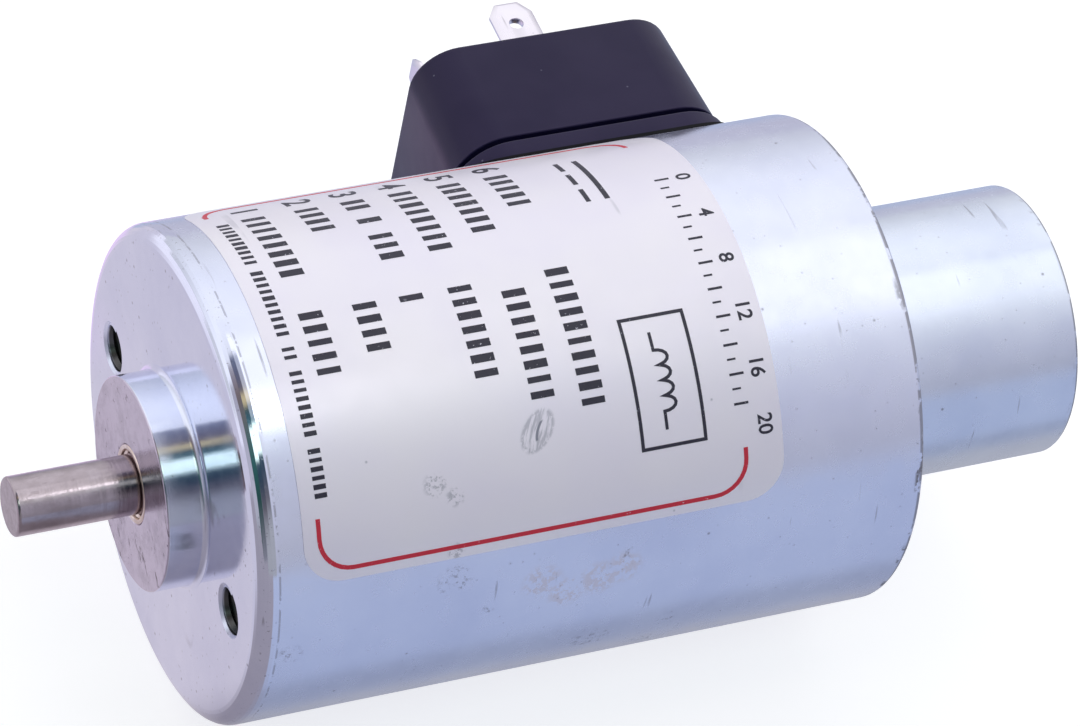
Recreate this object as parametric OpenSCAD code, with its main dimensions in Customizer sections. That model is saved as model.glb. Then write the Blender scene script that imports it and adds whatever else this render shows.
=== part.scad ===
// Push pull solenoid: tubular DC solenoid with a push rod at the front and a
// pull plunger at the back, moulded plug base on the side, all sizes in mm.
// Frame: X is the axis, +X is the push direction, the plug base points to -Y,
// and the origin is on the axis in the front mounting face.

/* [Housing] */
// Outer diameter of the steel can
body_d = 50; // [48:0.5:56]
// Length of the can from the mounting face to the rolled rear rim
body_l = 70; // [68:0.5:90]
// Wall of the can
can_wall = 2.5; // [2:0.1:3]
// Thickness of the closed front end
front_wall = 6; // [5:0.5:8]
// Radius of the front outer edge
front_edge_r = 1.8; // [0.8:0.1:2.4]
// Radius of the rear outer edge
rear_edge_r = 0.7; // [0.3:0.1:0.9]
// Thickness of the rolled rear lip
lip_t = 1; // [0.8:0.1:1.6]
// How far the rolled lip reaches in over the rear plate
lip_reach = 1.4; // [1:0.1:2]

/* [Front mounting] */
// Diameter of the locating boss
boss_d = 21.5; // [20:0.1:24]
// Height of the locating boss
boss_h = 4; // [2:0.1:6]
// Edge chamfer of the boss
boss_chamfer = 0.3; // [0.1:0.05:0.6]
// Width of the undercut behind the boss, inside the front wall
relief_w = 0.5; // [0.4:0.05:0.8]
// Depth of that undercut
relief_depth = 0.25; // [0.15:0.05:0.5]
// Bolt circle of the two mounting holes
bolt_pcd = 35; // [33:0.1:38]
// Core diameter of the tapped mounting holes
bolt_core_d = 4.2; // [3.2:0.1:4.4]
// Mouth diameter of the countersink on a mounting hole
bolt_mouth_d = 5.5; // [5:0.1:6]
// Depth of that countersink
bolt_mouth_h = 0.6; // [0.3:0.05:0.8]

/* [Pole core and bush] */
// Radial room for the tube, bobbin and winding between core and can
coil_room = 6.7; // [5:0.1:7.2]
// Depth of the conical seat in the core
seat_depth = 8; // [6:0.5:10]
// Diameter of the seat floor
seat_floor_d = 12; // [11:0.5:14]
// Width of the flat rim round the seat mouth
seat_rim = 2.8; // [1.5:0.1:4]
// Outer diameter of the rod bush
bush_d = 8; // [7.8:0.1:9]
// Length of the rod bush
bush_l = 12; // [8:0.5:16]
// Depth of the chamfer at the mouth of the bush
bush_mouth_h = 0.5; // [0.2:0.05:0.8]
// Width of the chamfer at the mouth of the bush
bush_mouth_w = 0.55; // [0.3:0.05:0.6]
// Thickness of the washer that keeps the plunger off the seat
stick_washer_t = 0.5; // [0.3:0.05:0.8]

/* [Moving parts] */
// Travel of the plunger
travel = 20; // [10:0.5:24]
// Length of the thick head of the plunger
head_l = 14.7; // [14:0.1:18]
// Step from the plunger head down to its tail
head_step = 1.6; // [1.2:0.1:2.4]
// How far the tail still stands out after the whole push
tail_left = 2.8; // [1.5:0.1:5]
// Edge chamfer of the plunger tail
tail_chamfer = 0.4; // [0.2:0.05:1]
// Radial gap between the plunger head and the guide tube
head_gap = 0.25; // [0.15:0.05:0.4]
// Radial gap between the nose cone of the plunger and its seat
seat_gap = 0.3; // [0.2:0.05:0.6]
// Width of the slide ring on the head
ring_w = 6; // [4:0.5:7]
// Radial thickness of the slide ring
ring_t = 1.6; // [1:0.1:2]
// Distance of the slide ring from the front of the head
ring_back = 3.8; // [3.4:0.1:5]
// Diameter of the free end of the push rod
rod_d = 6; // [5.5:0.1:6.2]
// Diameter of the rod shank in the bush
rod_shank_d = 6.5; // [6.3:0.1:6.8]
// How far the rod stands out of the boss at rest
rod_out = 12.5; // [8:0.5:25]
// Edge chamfer of the rod
rod_chamfer = 0.3; // [0.1:0.05:0.6]
// Depth of the rod in the plunger
rod_seat = 14; // [12:0.5:18]
// Diameter of the cross pin that holds the rod
cross_pin_d = 2; // [1.6:0.1:2.4]
// How far each end of the cross pin stays below the head
cross_pin_short = 3.6; // [2:0.1:6]
// Distance of the cross pin behind the front of the head
cross_pin_back = 1.8; // [1.4:0.1:2]
// Core diameter of the tapped pull hole in the tail
pull_core_d = 5; // [4.2:0.1:6.8]
// Depth of the tapped pull hole
pull_depth = 12; // [8:0.5:18]
// Depth of the mouth chamfer of the pull hole
pull_mouth_h = 0.6; // [0.3:0.05:1]

/* [Rear closure] */
// Thickness of the rear plate
plate_t = 6; // [5:0.25:8]
// Radial wall of the rear bush
rear_bush_t = 1.5; // [1:0.1:1.6]
// Thickness of the rear stop washer
stop_washer_t = 1.2; // [1:0.1:1.6]
// Radial width of the seal ring round the rear plate
seal_w = 1.1; // [0.8:0.1:1.4]
// Axial width of the seal ring
seal_h = 1.6; // [1.2:0.1:2]

/* [Coil] */
// Wall of the guide tube
tube_wall = 0.75; // [0.5:0.05:0.9]
// Wall of the bobbin barrel
barrel_wall = 1; // [0.8:0.05:1.2]
// Thickness of a bobbin flange
flange_t = 2; // [1.5:0.1:3]
// Gap between the bobbin flanges and the can
flange_gap = 0.3; // [0.2:0.05:0.5]
// How far the winding stays below the rims of the bobbin flanges
winding_below = 1; // [0.8:0.1:2]
// Thickness of the tape over the winding
tape_t = 0.3; // [0.2:0.05:0.4]
// Thickness of the cushion ring behind the bobbin
cushion_t = 2; // [1:0.1:3]

/* [Plug base] */
// Distance of the plug base middle ahead of the rear end of the can
base_ahead = 17.7; // [17.4:0.1:24]
// Length of the base at its foot
base_l = 29.8; // [29:0.1:30.4]
// Width of the base at its foot
base_w = 28; // [27:0.1:29]
// Height of the base above the can
base_h = 13; // [12:0.1:20]
// Taper of each wall of the base from foot to top
base_taper = 0.6; // [0.3:0.05:1.2]
// Corner radius of the base
base_corner_r = 5.5; // [4:0.1:7]
// How far the foot flange stands out
foot_out = 0.8; // [0.4:0.05:1]
// Height of the top of the foot flange below the crown of the can
foot_drop = 1.8; // [1.2:0.05:2.2]
// Thickness of the seal under the base
base_seal_t = 0.5; // [0.3:0.05:0.8]
// Length of the wiring pocket under the base
pocket_l = 15; // [14:0.5:16]
// Width of the wiring pocket
pocket_w = 22; // [20:0.5:23]
// Depth of the wiring pocket above the can
pocket_h = 6; // [5:0.25:7]
// Diameter of the plug screw insert
insert_d = 4.8; // [4.6:0.1:5.6]
// Core diameter of the plug screw thread
insert_core_d = 2.5; // [2:0.1:3.3]
// Length of the plug screw insert
insert_l = 6; // [4:0.5:6.5]

/* [Terminals and screws] */
// Width of a terminal blade
blade_w = 4.8; // [4.6:0.1:6.3]
// Thickness of a terminal blade
blade_t = 0.8; // [0.6:0.05:1]
// Height of the two contact blades above the base
blade_h = 9; // [7:0.1:12]
// Height of the earth blade above the base
earth_h = 10.2; // [7:0.1:12]
// Side taper at a blade tip
blade_taper = 1.1; // [0.6:0.05:1.4]
// Height of that taper
blade_taper_h = 1.6; // [1:0.1:2.4]
// Diameter of the hole in a blade
blade_hole_d = 1.5; // [1:0.1:2]
// Distance of the hole from the blade tip
blade_hole_down = 3.2; // [2.6:0.1:5]
// Distance of a contact blade from the middle of the base
blade_off = 8.6; // [8:0.05:9]
// Distance of the earth blade from the middle of the base
earth_off = 8.7; // [8.6:0.05:8.9]
// Width of a terminal tail
tail_w = 2.4; // [1.6:0.1:3]
// Distance of a base screw from the middle of the base
screw_off = 11.35; // [11.1:0.05:11.4]
// Shank diameter of a base screw
screw_d = 2.4; // [1.8:0.1:2.4]
// Head diameter of a base screw
screw_head_d = 3.4; // [3:0.1:3.4]
// Head height of a base screw
screw_head_h = 1.6; // [1:0.1:2]
// Depth of the screw head below the top of the base
screw_sink = 1; // [0.5:0.1:2]
// Width of the screwdriver slot
slot_w = 0.6; // [0.4:0.05:0.8]
// Diameter of a lead wire
wire_d = 1.2; // [0.8:0.1:1.4]
// Half the spacing of the two lead wires in the grommet
wire_off = 1.4; // [1.2:0.05:1.8]
// Diameter of the wire hole in the can
wire_hole_d = 8; // [7.4:0.1:9]
// Bore of the grommet
grommet_bore_d = 5; // [4.6:0.1:5.6]
// Diameter of the grommet flange
grommet_flange_d = 10; // [9.4:0.1:11]
// Thickness of the grommet flange
grommet_flange_t = 1; // [0.8:0.1:1.4]

/* [Label] */
// Length of the label along the can
label_l = 50; // [40:0.1:52]
// Distance of the label behind the mounting face
label_back = 4.6; // [3:0.1:8]
// Lower edge of the label as an angle round the can
label_low_deg = -69; // [-80:0.5:-40]
// Upper edge of the label as an angle round the can
label_high_deg = 46; // [20:0.5:48]
// Corner radius of the label
label_corner_r = 4; // [2:0.1:8]
// Thickness of the label
label_t = 0.1; // [0.08:0.01:0.15]

/* [Clearances] */
// Radial clearance of parts that are pressed together
press_gap = 0.01; // [0.01:0.005:0.02]
// Radial clearance of parts that only nest
nest_gap = 0.05; // [0.04:0.01:0.1]
// Radial clearance of parts that slide
slide_gap = 0.04; // [0.03:0.01:0.08]
// Gap left between the plunger and its two stops
stop_gap = 0.3; // [0.2:0.05:0.4]
// Clearance round parts that pass through a hole
pass_gap = 0.3; // [0.2:0.05:0.4]

/* [Hidden] */
$fn = 96;
CUT = 1;
ARC_STEPS = 8;

body_r = body_d / 2;
bore_r = body_r - can_wall;
lip_r = bore_r - lip_reach;
boss_r = boss_d / 2;
core_r = bore_r - coil_room;
seat_floor_r = seat_floor_d / 2;
seat_mouth_r = core_r - seat_rim;
bush_r = bush_d / 2;
rod_r = rod_d / 2;
shank_r = rod_shank_d / 2;
bush_bore_r = shank_r + slide_gap;
rod_clear_r = shank_r + pass_gap;
tube_in_r = core_r + nest_gap;
head_r = tube_in_r - head_gap;
tail_r = head_r - head_step;
nose_r = seat_floor_r - seat_gap;
cone_r = seat_mouth_r - seat_gap;
tube_out_r = tube_in_r + tube_wall;
barrel_in_r = tube_out_r + nest_gap;
barrel_out_r = barrel_in_r + barrel_wall;
winding_in_r = barrel_out_r + nest_gap;
flange_r = bore_r - flange_gap;
winding_out_r = flange_r - winding_below;
tape_in_r = winding_out_r + nest_gap;
tape_out_r = tape_in_r + tape_t;

plate_back = lip_t - body_l;
plate_front = plate_back + plate_t;
plate_r = bore_r - nest_gap;
rear_bush_in_r = tail_r + slide_gap;
rear_bush_out_r = rear_bush_in_r + rear_bush_t;
plate_bore_r = rear_bush_out_r + press_gap;
seal_mid = (plate_front + plate_back) / 2;

// plunger at rest on its rear stop; the core's seat is one travel ahead of its nose
stop_front = plate_front + stop_washer_t;
head_back = stop_front + stop_gap;
head_front = head_back + head_l;
nose_x = head_front + seat_depth;
seat_floor = nose_x + travel + stop_gap + stick_washer_t;
core_back = seat_floor - seat_depth;
tail_end = -body_l - tail_left - travel;
ring_out_r = tube_in_r - slide_gap;
ring_in_r = ring_out_r - ring_t;
ring_front = head_front - ring_back;
rod_tip = boss_h + rod_out;
rod_step = boss_h + nest_gap;
rod_end = nose_x - rod_seat;
cross_pin_x = head_front - cross_pin_back;
cross_pin_end = head_r - cross_pin_short;

bobbin_back = plate_front + cushion_t;
coil_front = -front_wall - flange_t;
coil_back = bobbin_back + flange_t;

base_x = base_ahead - body_l;
base_root = body_r - base_w / 2;
base_top = body_r + base_h;
foot_top = body_r - foot_drop;
seal_out_r = body_r + base_seal_t;
foot_l = base_l + 2 * foot_out;
foot_w = base_w + 2 * foot_out;
blade_tip = base_top + blade_h;
earth_tip = base_top + earth_h;
pocket_top = body_r + pocket_h;
screw_top = base_top - screw_sink;
screw_tip = bore_r + nest_gap + pass_gap;
screw_seat = screw_top - screw_head_h;
wire_r = wire_d / 2;
wire_start = tape_out_r + nest_gap;
wire_bend = wire_d;
wire_high = pocket_top - wire_d - pass_gap;
tail_foot = wire_high - wire_d;
grommet_bore_r = grommet_bore_d / 2;
earth_x = base_x + earth_off;
earth_foot = body_r + nest_gap;

// a revolve about X of a profile drawn with radius across and X up
module turned() { rotate([0, 90, 0]) rotate_extrude() children(); }

// a rectangle of the profile from r0 to r1 and from x0 to x1
module band(r0, r1, x0, x1) {
  translate([r0, min(x0, x1)]) square([r1 - r0, abs(x1 - x0)]);
}

// a turned ring from r0 to r1 and from x0 to x1
module ring(r0, r1, x0, x1) { turned() band(r0, r1, x0, x1); }

// a round bar along the axis, r thick, from x0 to x1
module bar(r, x0, x1) {
  translate([min(x0, x1), 0, 0]) rotate([0, 90, 0]) cylinder(r = r, h = abs(x1 - x0));
}

// a round bar towards the plug side, centred on x, z, from height h0 to h1
module post(r, x, z, h0, h1) {
  translate([x, -h0, z]) rotate([90, 0, 0]) cylinder(r = r, h = h1 - h0);
}

// a box towards the plug side, l along X and w along Z, from height h0 to h1
module block(l, w, x, z, h0, h1) {
  translate([x - l / 2, -h1, z - w / 2]) cube([l, h1 - h0, w]);
}

// a profile corner of radius r to cut away, outer corner at the origin, inward to -,-
module corner_cut(r) {
  translate([-r, -r]) difference() {
    square([r + CUT, r + CUT]);
    circle(r = r);
  }
}

// housing ------------------------------------------------------------------

module can_profile() {
  difference() {
    band(0, body_r, 0, -body_l);
    band(-CUT, bore_r, -front_wall, plate_back);
    band(-CUT, lip_r, plate_back, -body_l - CUT);
    band(-CUT, boss_r + press_gap, CUT, -front_wall - CUT);
    translate([body_r, 0]) corner_cut(front_edge_r);
    translate([body_r, -body_l]) mirror([0, 1]) corner_cut(rear_edge_r);
  }
}

module bolt_hole(side) {
  translate([0, side * bolt_pcd / 2, 0]) {
    bar(bolt_core_d / 2, CUT, -front_wall - CUT);
    translate([-bolt_mouth_h, 0, 0]) rotate([0, 90, 0])
      cylinder(r1 = bolt_core_d / 2, r2 = bolt_mouth_d / 2, h = bolt_mouth_h);
    bar(bolt_mouth_d / 2, 0, CUT);
  }
}

module housing_can() {
  color("gainsboro") difference() {
    turned() can_profile();
    for (side = [-1, 1]) bolt_hole(side);
    post(wire_hole_d / 2, base_x, 0, bore_r - CUT, body_r + CUT);
    for (side = [-1, 1])
      post(screw_d / 2 + press_gap, base_x + side * screw_off, 0, bore_r - CUT, body_r + CUT);
  }
}

module pole_core() {
  color("lightgray") difference() {
    turned() difference() {
      union() {
        band(0, boss_r, boss_h, -front_wall);
        band(0, core_r, -front_wall, core_back);
      }
      band(boss_r - relief_depth, boss_r + CUT, 0, -relief_w);
      band(-CUT, bush_r + press_gap, boss_h + CUT, boss_h - bush_l);
      band(-CUT, rod_clear_r, boss_h, core_back - CUT);
      polygon([[-CUT, seat_floor], [seat_floor_r, seat_floor],
        [seat_mouth_r, core_back], [seat_mouth_r, core_back - CUT], [-CUT, core_back - CUT]]);
      polygon([[boss_r - boss_chamfer, boss_h], [boss_r, boss_h - boss_chamfer],
        [boss_r + CUT, boss_h - boss_chamfer], [boss_r + CUT, boss_h + CUT],
        [boss_r - boss_chamfer, boss_h + CUT]]);
    }
  }
}

module front_bush() {
  color("peru") turned() difference() {
    band(bush_bore_r, bush_r, boss_h, boss_h - bush_l);
    polygon([[bush_bore_r - CUT, boss_h - bush_mouth_h], [bush_bore_r, boss_h - bush_mouth_h],
      [bush_bore_r + bush_mouth_w, boss_h], [bush_bore_r + bush_mouth_w, boss_h + CUT],
      [bush_bore_r - CUT, boss_h + CUT]]);
  }
}

module anti_stick_washer() {
  color("khaki") ring(rod_clear_r, seat_floor_r - nest_gap, seat_floor, seat_floor - stick_washer_t);
}

module guide_tube() {
  color("goldenrod") ring(tube_in_r, tube_out_r, -front_wall, plate_front);
}

// coil ---------------------------------------------------------------------

module coil_bobbin() {
  color("darkslategray") turned() {
    band(barrel_in_r, barrel_out_r, -front_wall, bobbin_back);
    band(barrel_in_r, flange_r, -front_wall, coil_front);
    band(barrel_in_r, flange_r, coil_back, bobbin_back);
  }
}

module coil_winding() { color("chocolate") ring(winding_in_r, winding_out_r, coil_front, coil_back); }

module winding_tape() {
  color("lightyellow") difference() {
    ring(tape_in_r, tape_out_r, coil_front, coil_back);
    block(2 * wire_d, 2 * wire_off + 2 * wire_d, base_x, 0, tape_in_r - CUT, tape_out_r + CUT);
  }
}

module coil_cushion() { color("dimgray") ring(barrel_in_r, flange_r, bobbin_back, plate_front); }

// rear closure -------------------------------------------------------------

module rear_plate() {
  color("silver") turned() difference() {
    band(plate_bore_r, plate_r, plate_front, plate_back);
    band(plate_r - seal_w, plate_r + CUT, seal_mid - seal_h / 2, seal_mid + seal_h / 2);
  }
}

module rear_bush() { color("peru") ring(rear_bush_in_r, rear_bush_out_r, plate_front, plate_back); }

module rear_stop_washer() {
  color("black") ring(tail_r + pass_gap, tube_in_r - nest_gap, stop_front, plate_front);
}

module rear_seal_ring() {
  color("black") ring(plate_r - seal_w, plate_r, seal_mid - seal_h / 2, seal_mid + seal_h / 2);
}

// plug base ----------------------------------------------------------------

// one level of the drafted base: a thin slab with round corners at height h
module base_level(l, w, r, h, t) {
  translate([base_x, -h, 0]) rotate([90, 0, 0]) linear_extrude(t)
    for (a = [-1, 1], b = [-1, 1])
      translate([a * (l / 2 - r), b * (w / 2 - r)]) circle(r = r, $fn = 64);
}

module base_solid() {
  slab = nest_gap;
  hull() {
    base_level(base_l, base_w, base_corner_r, base_root, slab);
    base_level(base_l, base_w, base_corner_r, foot_top, slab);
    base_level(base_l - 2 * base_taper, base_w - 2 * base_taper,
      base_corner_r - base_taper, base_top - slab, slab);
  }
}

// the foot flange, straight walls and exact corners
module foot_flange(h0, h1) {
  r = base_corner_r + foot_out;
  for (a = [-1, 1], b = [-1, 1])
    post(r, base_x + a * (foot_l / 2 - r), b * (foot_w / 2 - r), h0, h1);
  block(foot_l - 2 * r, foot_w, base_x, 0, h0, h1);
  block(foot_l, foot_w - 2 * r, base_x, 0, h0, h1);
}

module pocket() {
  block(pocket_l, pocket_w, base_x, 0, 0, pocket_top);
  block(blade_t + 2 * nest_gap, tail_w + 2 * nest_gap, earth_x, 0, 0, base_top + CUT);
}

module plug_base() {
  color("midnightblue") difference() {
    union() {
      base_solid();
      foot_flange(base_root, foot_top);
    }
    bar(seal_out_r, -body_l - CUT, CUT);
    pocket();
    post(insert_d / 2 + press_gap, base_x, 0, base_top - insert_l, base_top + CUT);
    for (side = [-1, 1]) {
      block(blade_w + 2 * nest_gap, blade_t + 2 * nest_gap, base_x, side * blade_off,
        pocket_top - CUT, base_top + CUT);
      post(screw_d / 2 + nest_gap, base_x + side * screw_off, 0, 0, base_top);
      post(screw_head_d / 2 + nest_gap, base_x + side * screw_off, 0, screw_seat, base_top + CUT);
    }
    block(blade_t + 2 * nest_gap, blade_w + 2 * nest_gap, earth_x, 0,
      pocket_top, base_top + CUT);
  }
}

module base_seal() {
  color("black") difference() {
    intersection() {
      ring(body_r, seal_out_r, -body_l, 0);
      foot_flange(0, base_top);
    }
    pocket();
    for (side = [-1, 1])
      post(screw_d / 2 + nest_gap, base_x + side * screw_off, 0, 0, base_top);
  }
}

module plug_screw_insert() {
  color("gold") difference() {
    post(insert_d / 2, base_x, 0, base_top - insert_l, base_top);
    post(insert_core_d / 2, base_x, 0, base_top - insert_l - CUT, base_top + CUT);
  }
}

// the outline of a blade from its tail to its tapered tip, width across and height up
module blade_outline(foot, shoulder, tip) {
  w = blade_w / 2;
  polygon([[-tail_w / 2, foot], [tail_w / 2, foot], [tail_w / 2, shoulder], [w, shoulder],
    [w, tip - blade_taper_h], [w - blade_taper, tip], [blade_taper - w, tip],
    [-w, tip - blade_taper_h], [-w, shoulder], [-tail_w / 2, shoulder]]);
}

module contact_blade(side) {
  difference() {
    translate([base_x, 0, side * blade_off + blade_t / 2]) mirror([0, 0, 1])
      linear_extrude(blade_t) mirror([0, 1]) blade_outline(tail_foot, pocket_top, blade_tip);
    translate([base_x, blade_hole_down - blade_tip, side * blade_off - CUT])
      cylinder(r = blade_hole_d / 2, h = 2 * CUT);
  }
}

module terminal_1() { color("whitesmoke") contact_blade(1); }
module terminal_2() { color("whitesmoke") contact_blade(-1); }

module earth_tab() {
  color("whitesmoke") difference() {
    translate([earth_x + blade_t / 2, 0, 0]) rotate([0, -90, 0])
      linear_extrude(blade_t) mirror([0, 1]) blade_outline(earth_foot, pocket_top, earth_tip);
    translate([earth_x - CUT, blade_hole_down - earth_tip, 0]) rotate([0, 90, 0])
      cylinder(r = blade_hole_d / 2, h = 2 * CUT);
  }
}

module base_screw(side) {
  x = base_x + side * screw_off;
  difference() {
    union() {
      post(screw_d / 2, x, 0, screw_tip, screw_seat);
      post(screw_head_d / 2, x, 0, screw_seat, screw_top);
    }
    block(slot_w, screw_head_d + CUT, x, 0, screw_top - screw_head_h / 2, screw_top + CUT);
  }
}

module base_screw_front() { color("silver") base_screw(1); }
module base_screw_rear() { color("silver") base_screw(-1); }

// a lead wire: up through the grommet, round a bend and out to its terminal
module lead_wire(side) {
  z = side * wire_off;
  out = side * (blade_off - blade_t / 2);
  post(wire_r, base_x, z, wire_start, wire_high - wire_bend);
  translate([base_x, wire_bend - wire_high, z + side * wire_bend])
    multmatrix([[0, 0, -side, 0], [0, -1, 0, 0], [-side, 0, 0, 0], [0, 0, 0, 1]])
      rotate_extrude(angle = 90) translate([wire_bend, 0]) circle(r = wire_r);
  translate([base_x, -wire_high, min(z + side * wire_bend, out)])
    cylinder(r = wire_r, h = abs(out - z) - wire_bend);
}

module lead_wire_1() { color("crimson") lead_wire(1); }
module lead_wire_2() { color("black") lead_wire(-1); }

module wire_grommet() {
  color("dimgray") difference() {
    union() {
      post(wire_hole_d / 2 - nest_gap, base_x, 0, bore_r, body_r + nest_gap);
      post(grommet_flange_d / 2, base_x, 0, body_r + nest_gap,
        body_r + nest_gap + grommet_flange_t);
    }
    post(grommet_bore_r, base_x, 0, 0, base_top);
  }
}

// label --------------------------------------------------------------------

// the label's corner radius as an angle round the can
label_arc = label_corner_r / body_r * 180 / PI;
module label_foil() {
  x1 = -label_back;
  x0 = x1 - label_l;
  mid = (label_low_deg + label_high_deg) / 2;
  half = (label_high_deg - label_low_deg) / 2;
  corner = [for (i = [0 : ARC_STEPS]) let (t = 90 * i / ARC_STEPS)
    [label_corner_r * (1 - sin(t)), body_r * sin(half - label_arc * (1 - cos(t)))]];
  turn = [for (i = [ARC_STEPS : -1 : 0]) corner[i]];
  edge = concat(
    [for (p = corner) [x0 + p[0], p[1]]], [for (p = turn) [x0 + p[0], -p[1]]],
    [for (p = corner) [x1 - p[0], -p[1]]], [for (p = turn) [x1 - p[0], p[1]]]);
  color("lavender") intersection() {
    ring(body_r, body_r + label_t, x0, x1);
    rotate([mid, 0, 0]) linear_extrude(body_d) polygon(edge);
  }
}

// moving parts -------------------------------------------------------------

module plunger_profile() {
  difference() {
    polygon([[0, nose_x], [nose_r, nose_x], [cone_r, head_front], [head_r, head_front],
      [head_r, head_back], [tail_r, head_back], [tail_r, tail_end + tail_chamfer],
      [tail_r - tail_chamfer, tail_end], [0, tail_end]]);
    band(-CUT, shank_r + press_gap, nose_x + CUT, rod_end);
    band(ring_in_r - nest_gap, head_r + CUT, ring_front, ring_front - ring_w);
    band(-CUT, pull_core_d / 2, tail_end - CUT, tail_end + pull_depth);
    polygon([[-CUT, tail_end - CUT], [pull_core_d / 2 + pull_mouth_h, tail_end - CUT],
      [pull_core_d / 2 + pull_mouth_h, tail_end], [pull_core_d / 2, tail_end + pull_mouth_h],
      [-CUT, tail_end + pull_mouth_h]]);
  }
}

module plunger() {
  color("lightsteelblue") difference() {
    turned() plunger_profile();
    post(cross_pin_d / 2 + press_gap, cross_pin_x, 0, -body_r, body_r);
  }
}

module slide_ring() {
  color("ivory") ring(ring_in_r, ring_out_r, ring_front, ring_front - ring_w);
}

module push_rod() {
  color("gray") difference() {
    turned() polygon([[0, rod_end], [shank_r, rod_end], [shank_r, rod_step], [rod_r, rod_step],
      [rod_r, rod_tip - rod_chamfer], [rod_r - rod_chamfer, rod_tip], [0, rod_tip]]);
    post(cross_pin_d / 2 + press_gap, cross_pin_x, 0, -body_r, body_r);
  }
}

module cross_pin() {
  color("darkgray") post(cross_pin_d / 2, cross_pin_x, 0, -cross_pin_end, cross_pin_end);
}

housing_can();
pole_core();
front_bush();
anti_stick_washer();
guide_tube();
coil_bobbin();
coil_winding();
winding_tape();
coil_cushion();
rear_plate();
rear_bush();
rear_stop_washer();
rear_seal_ring();
lead_wire_1();
lead_wire_2();
wire_grommet();
base_seal();
plug_base();
plug_screw_insert();
terminal_1();
terminal_2();
earth_tab();
base_screw_front();
base_screw_rear();
label_foil();
plunger();
slide_ring();
push_rod();
cross_pin();
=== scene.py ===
"""Dresses the push pull solenoid: turned and plated steel, moulded plug base, blades and label.

Sizes in the classes are millimetres in the part's own frame: X along the axis and the way
the rod pushes, the plug base towards -Y, the origin in the front mounting face.
"""

from __future__ import annotations

import logging
import math
from dataclasses import dataclass, field
from enum import Enum
from typing import Callable, Iterable, Optional, Sequence

import bmesh
import bpy
from mathutils import Matrix, Vector

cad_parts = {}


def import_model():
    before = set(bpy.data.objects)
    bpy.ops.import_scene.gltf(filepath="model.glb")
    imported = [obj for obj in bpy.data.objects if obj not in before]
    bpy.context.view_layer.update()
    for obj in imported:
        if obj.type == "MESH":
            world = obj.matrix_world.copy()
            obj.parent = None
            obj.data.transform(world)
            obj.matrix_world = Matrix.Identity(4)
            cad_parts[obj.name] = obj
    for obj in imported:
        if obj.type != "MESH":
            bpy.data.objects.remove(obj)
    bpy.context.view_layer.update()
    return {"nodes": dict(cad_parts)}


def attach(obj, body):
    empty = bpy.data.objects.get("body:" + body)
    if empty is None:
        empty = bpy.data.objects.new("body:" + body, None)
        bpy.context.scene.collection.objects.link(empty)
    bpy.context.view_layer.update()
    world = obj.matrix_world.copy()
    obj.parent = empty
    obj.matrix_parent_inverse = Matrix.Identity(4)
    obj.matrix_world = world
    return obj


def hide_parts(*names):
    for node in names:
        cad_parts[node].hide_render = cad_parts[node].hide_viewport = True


LOG = logging.getLogger("solenoid")
MM = 0.001
RELIEF_DEPTH = 0.00002
Socket = bpy.types.NodeSocket
Piece = bpy.types.Object
Mesh = bmesh.types.BMesh
Node = bpy.types.Node
Tree = bpy.types.NodeTree
Material = bpy.types.Material
Profile = list[tuple[float, float]]
Point = tuple[float, float, float]
Colour = tuple[float, float, float]
Ramp = tuple[float, float]


class Body(str, Enum):
    """The two rigid bodies that pieces ride on."""

    HOUSING = "housing"
    ARMATURE = "armature"


class Axis(Enum):
    """Axis that a turned piece is revolved about."""

    ALONG = "x"
    PLUG = "-y"


# ---- shader building


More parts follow.
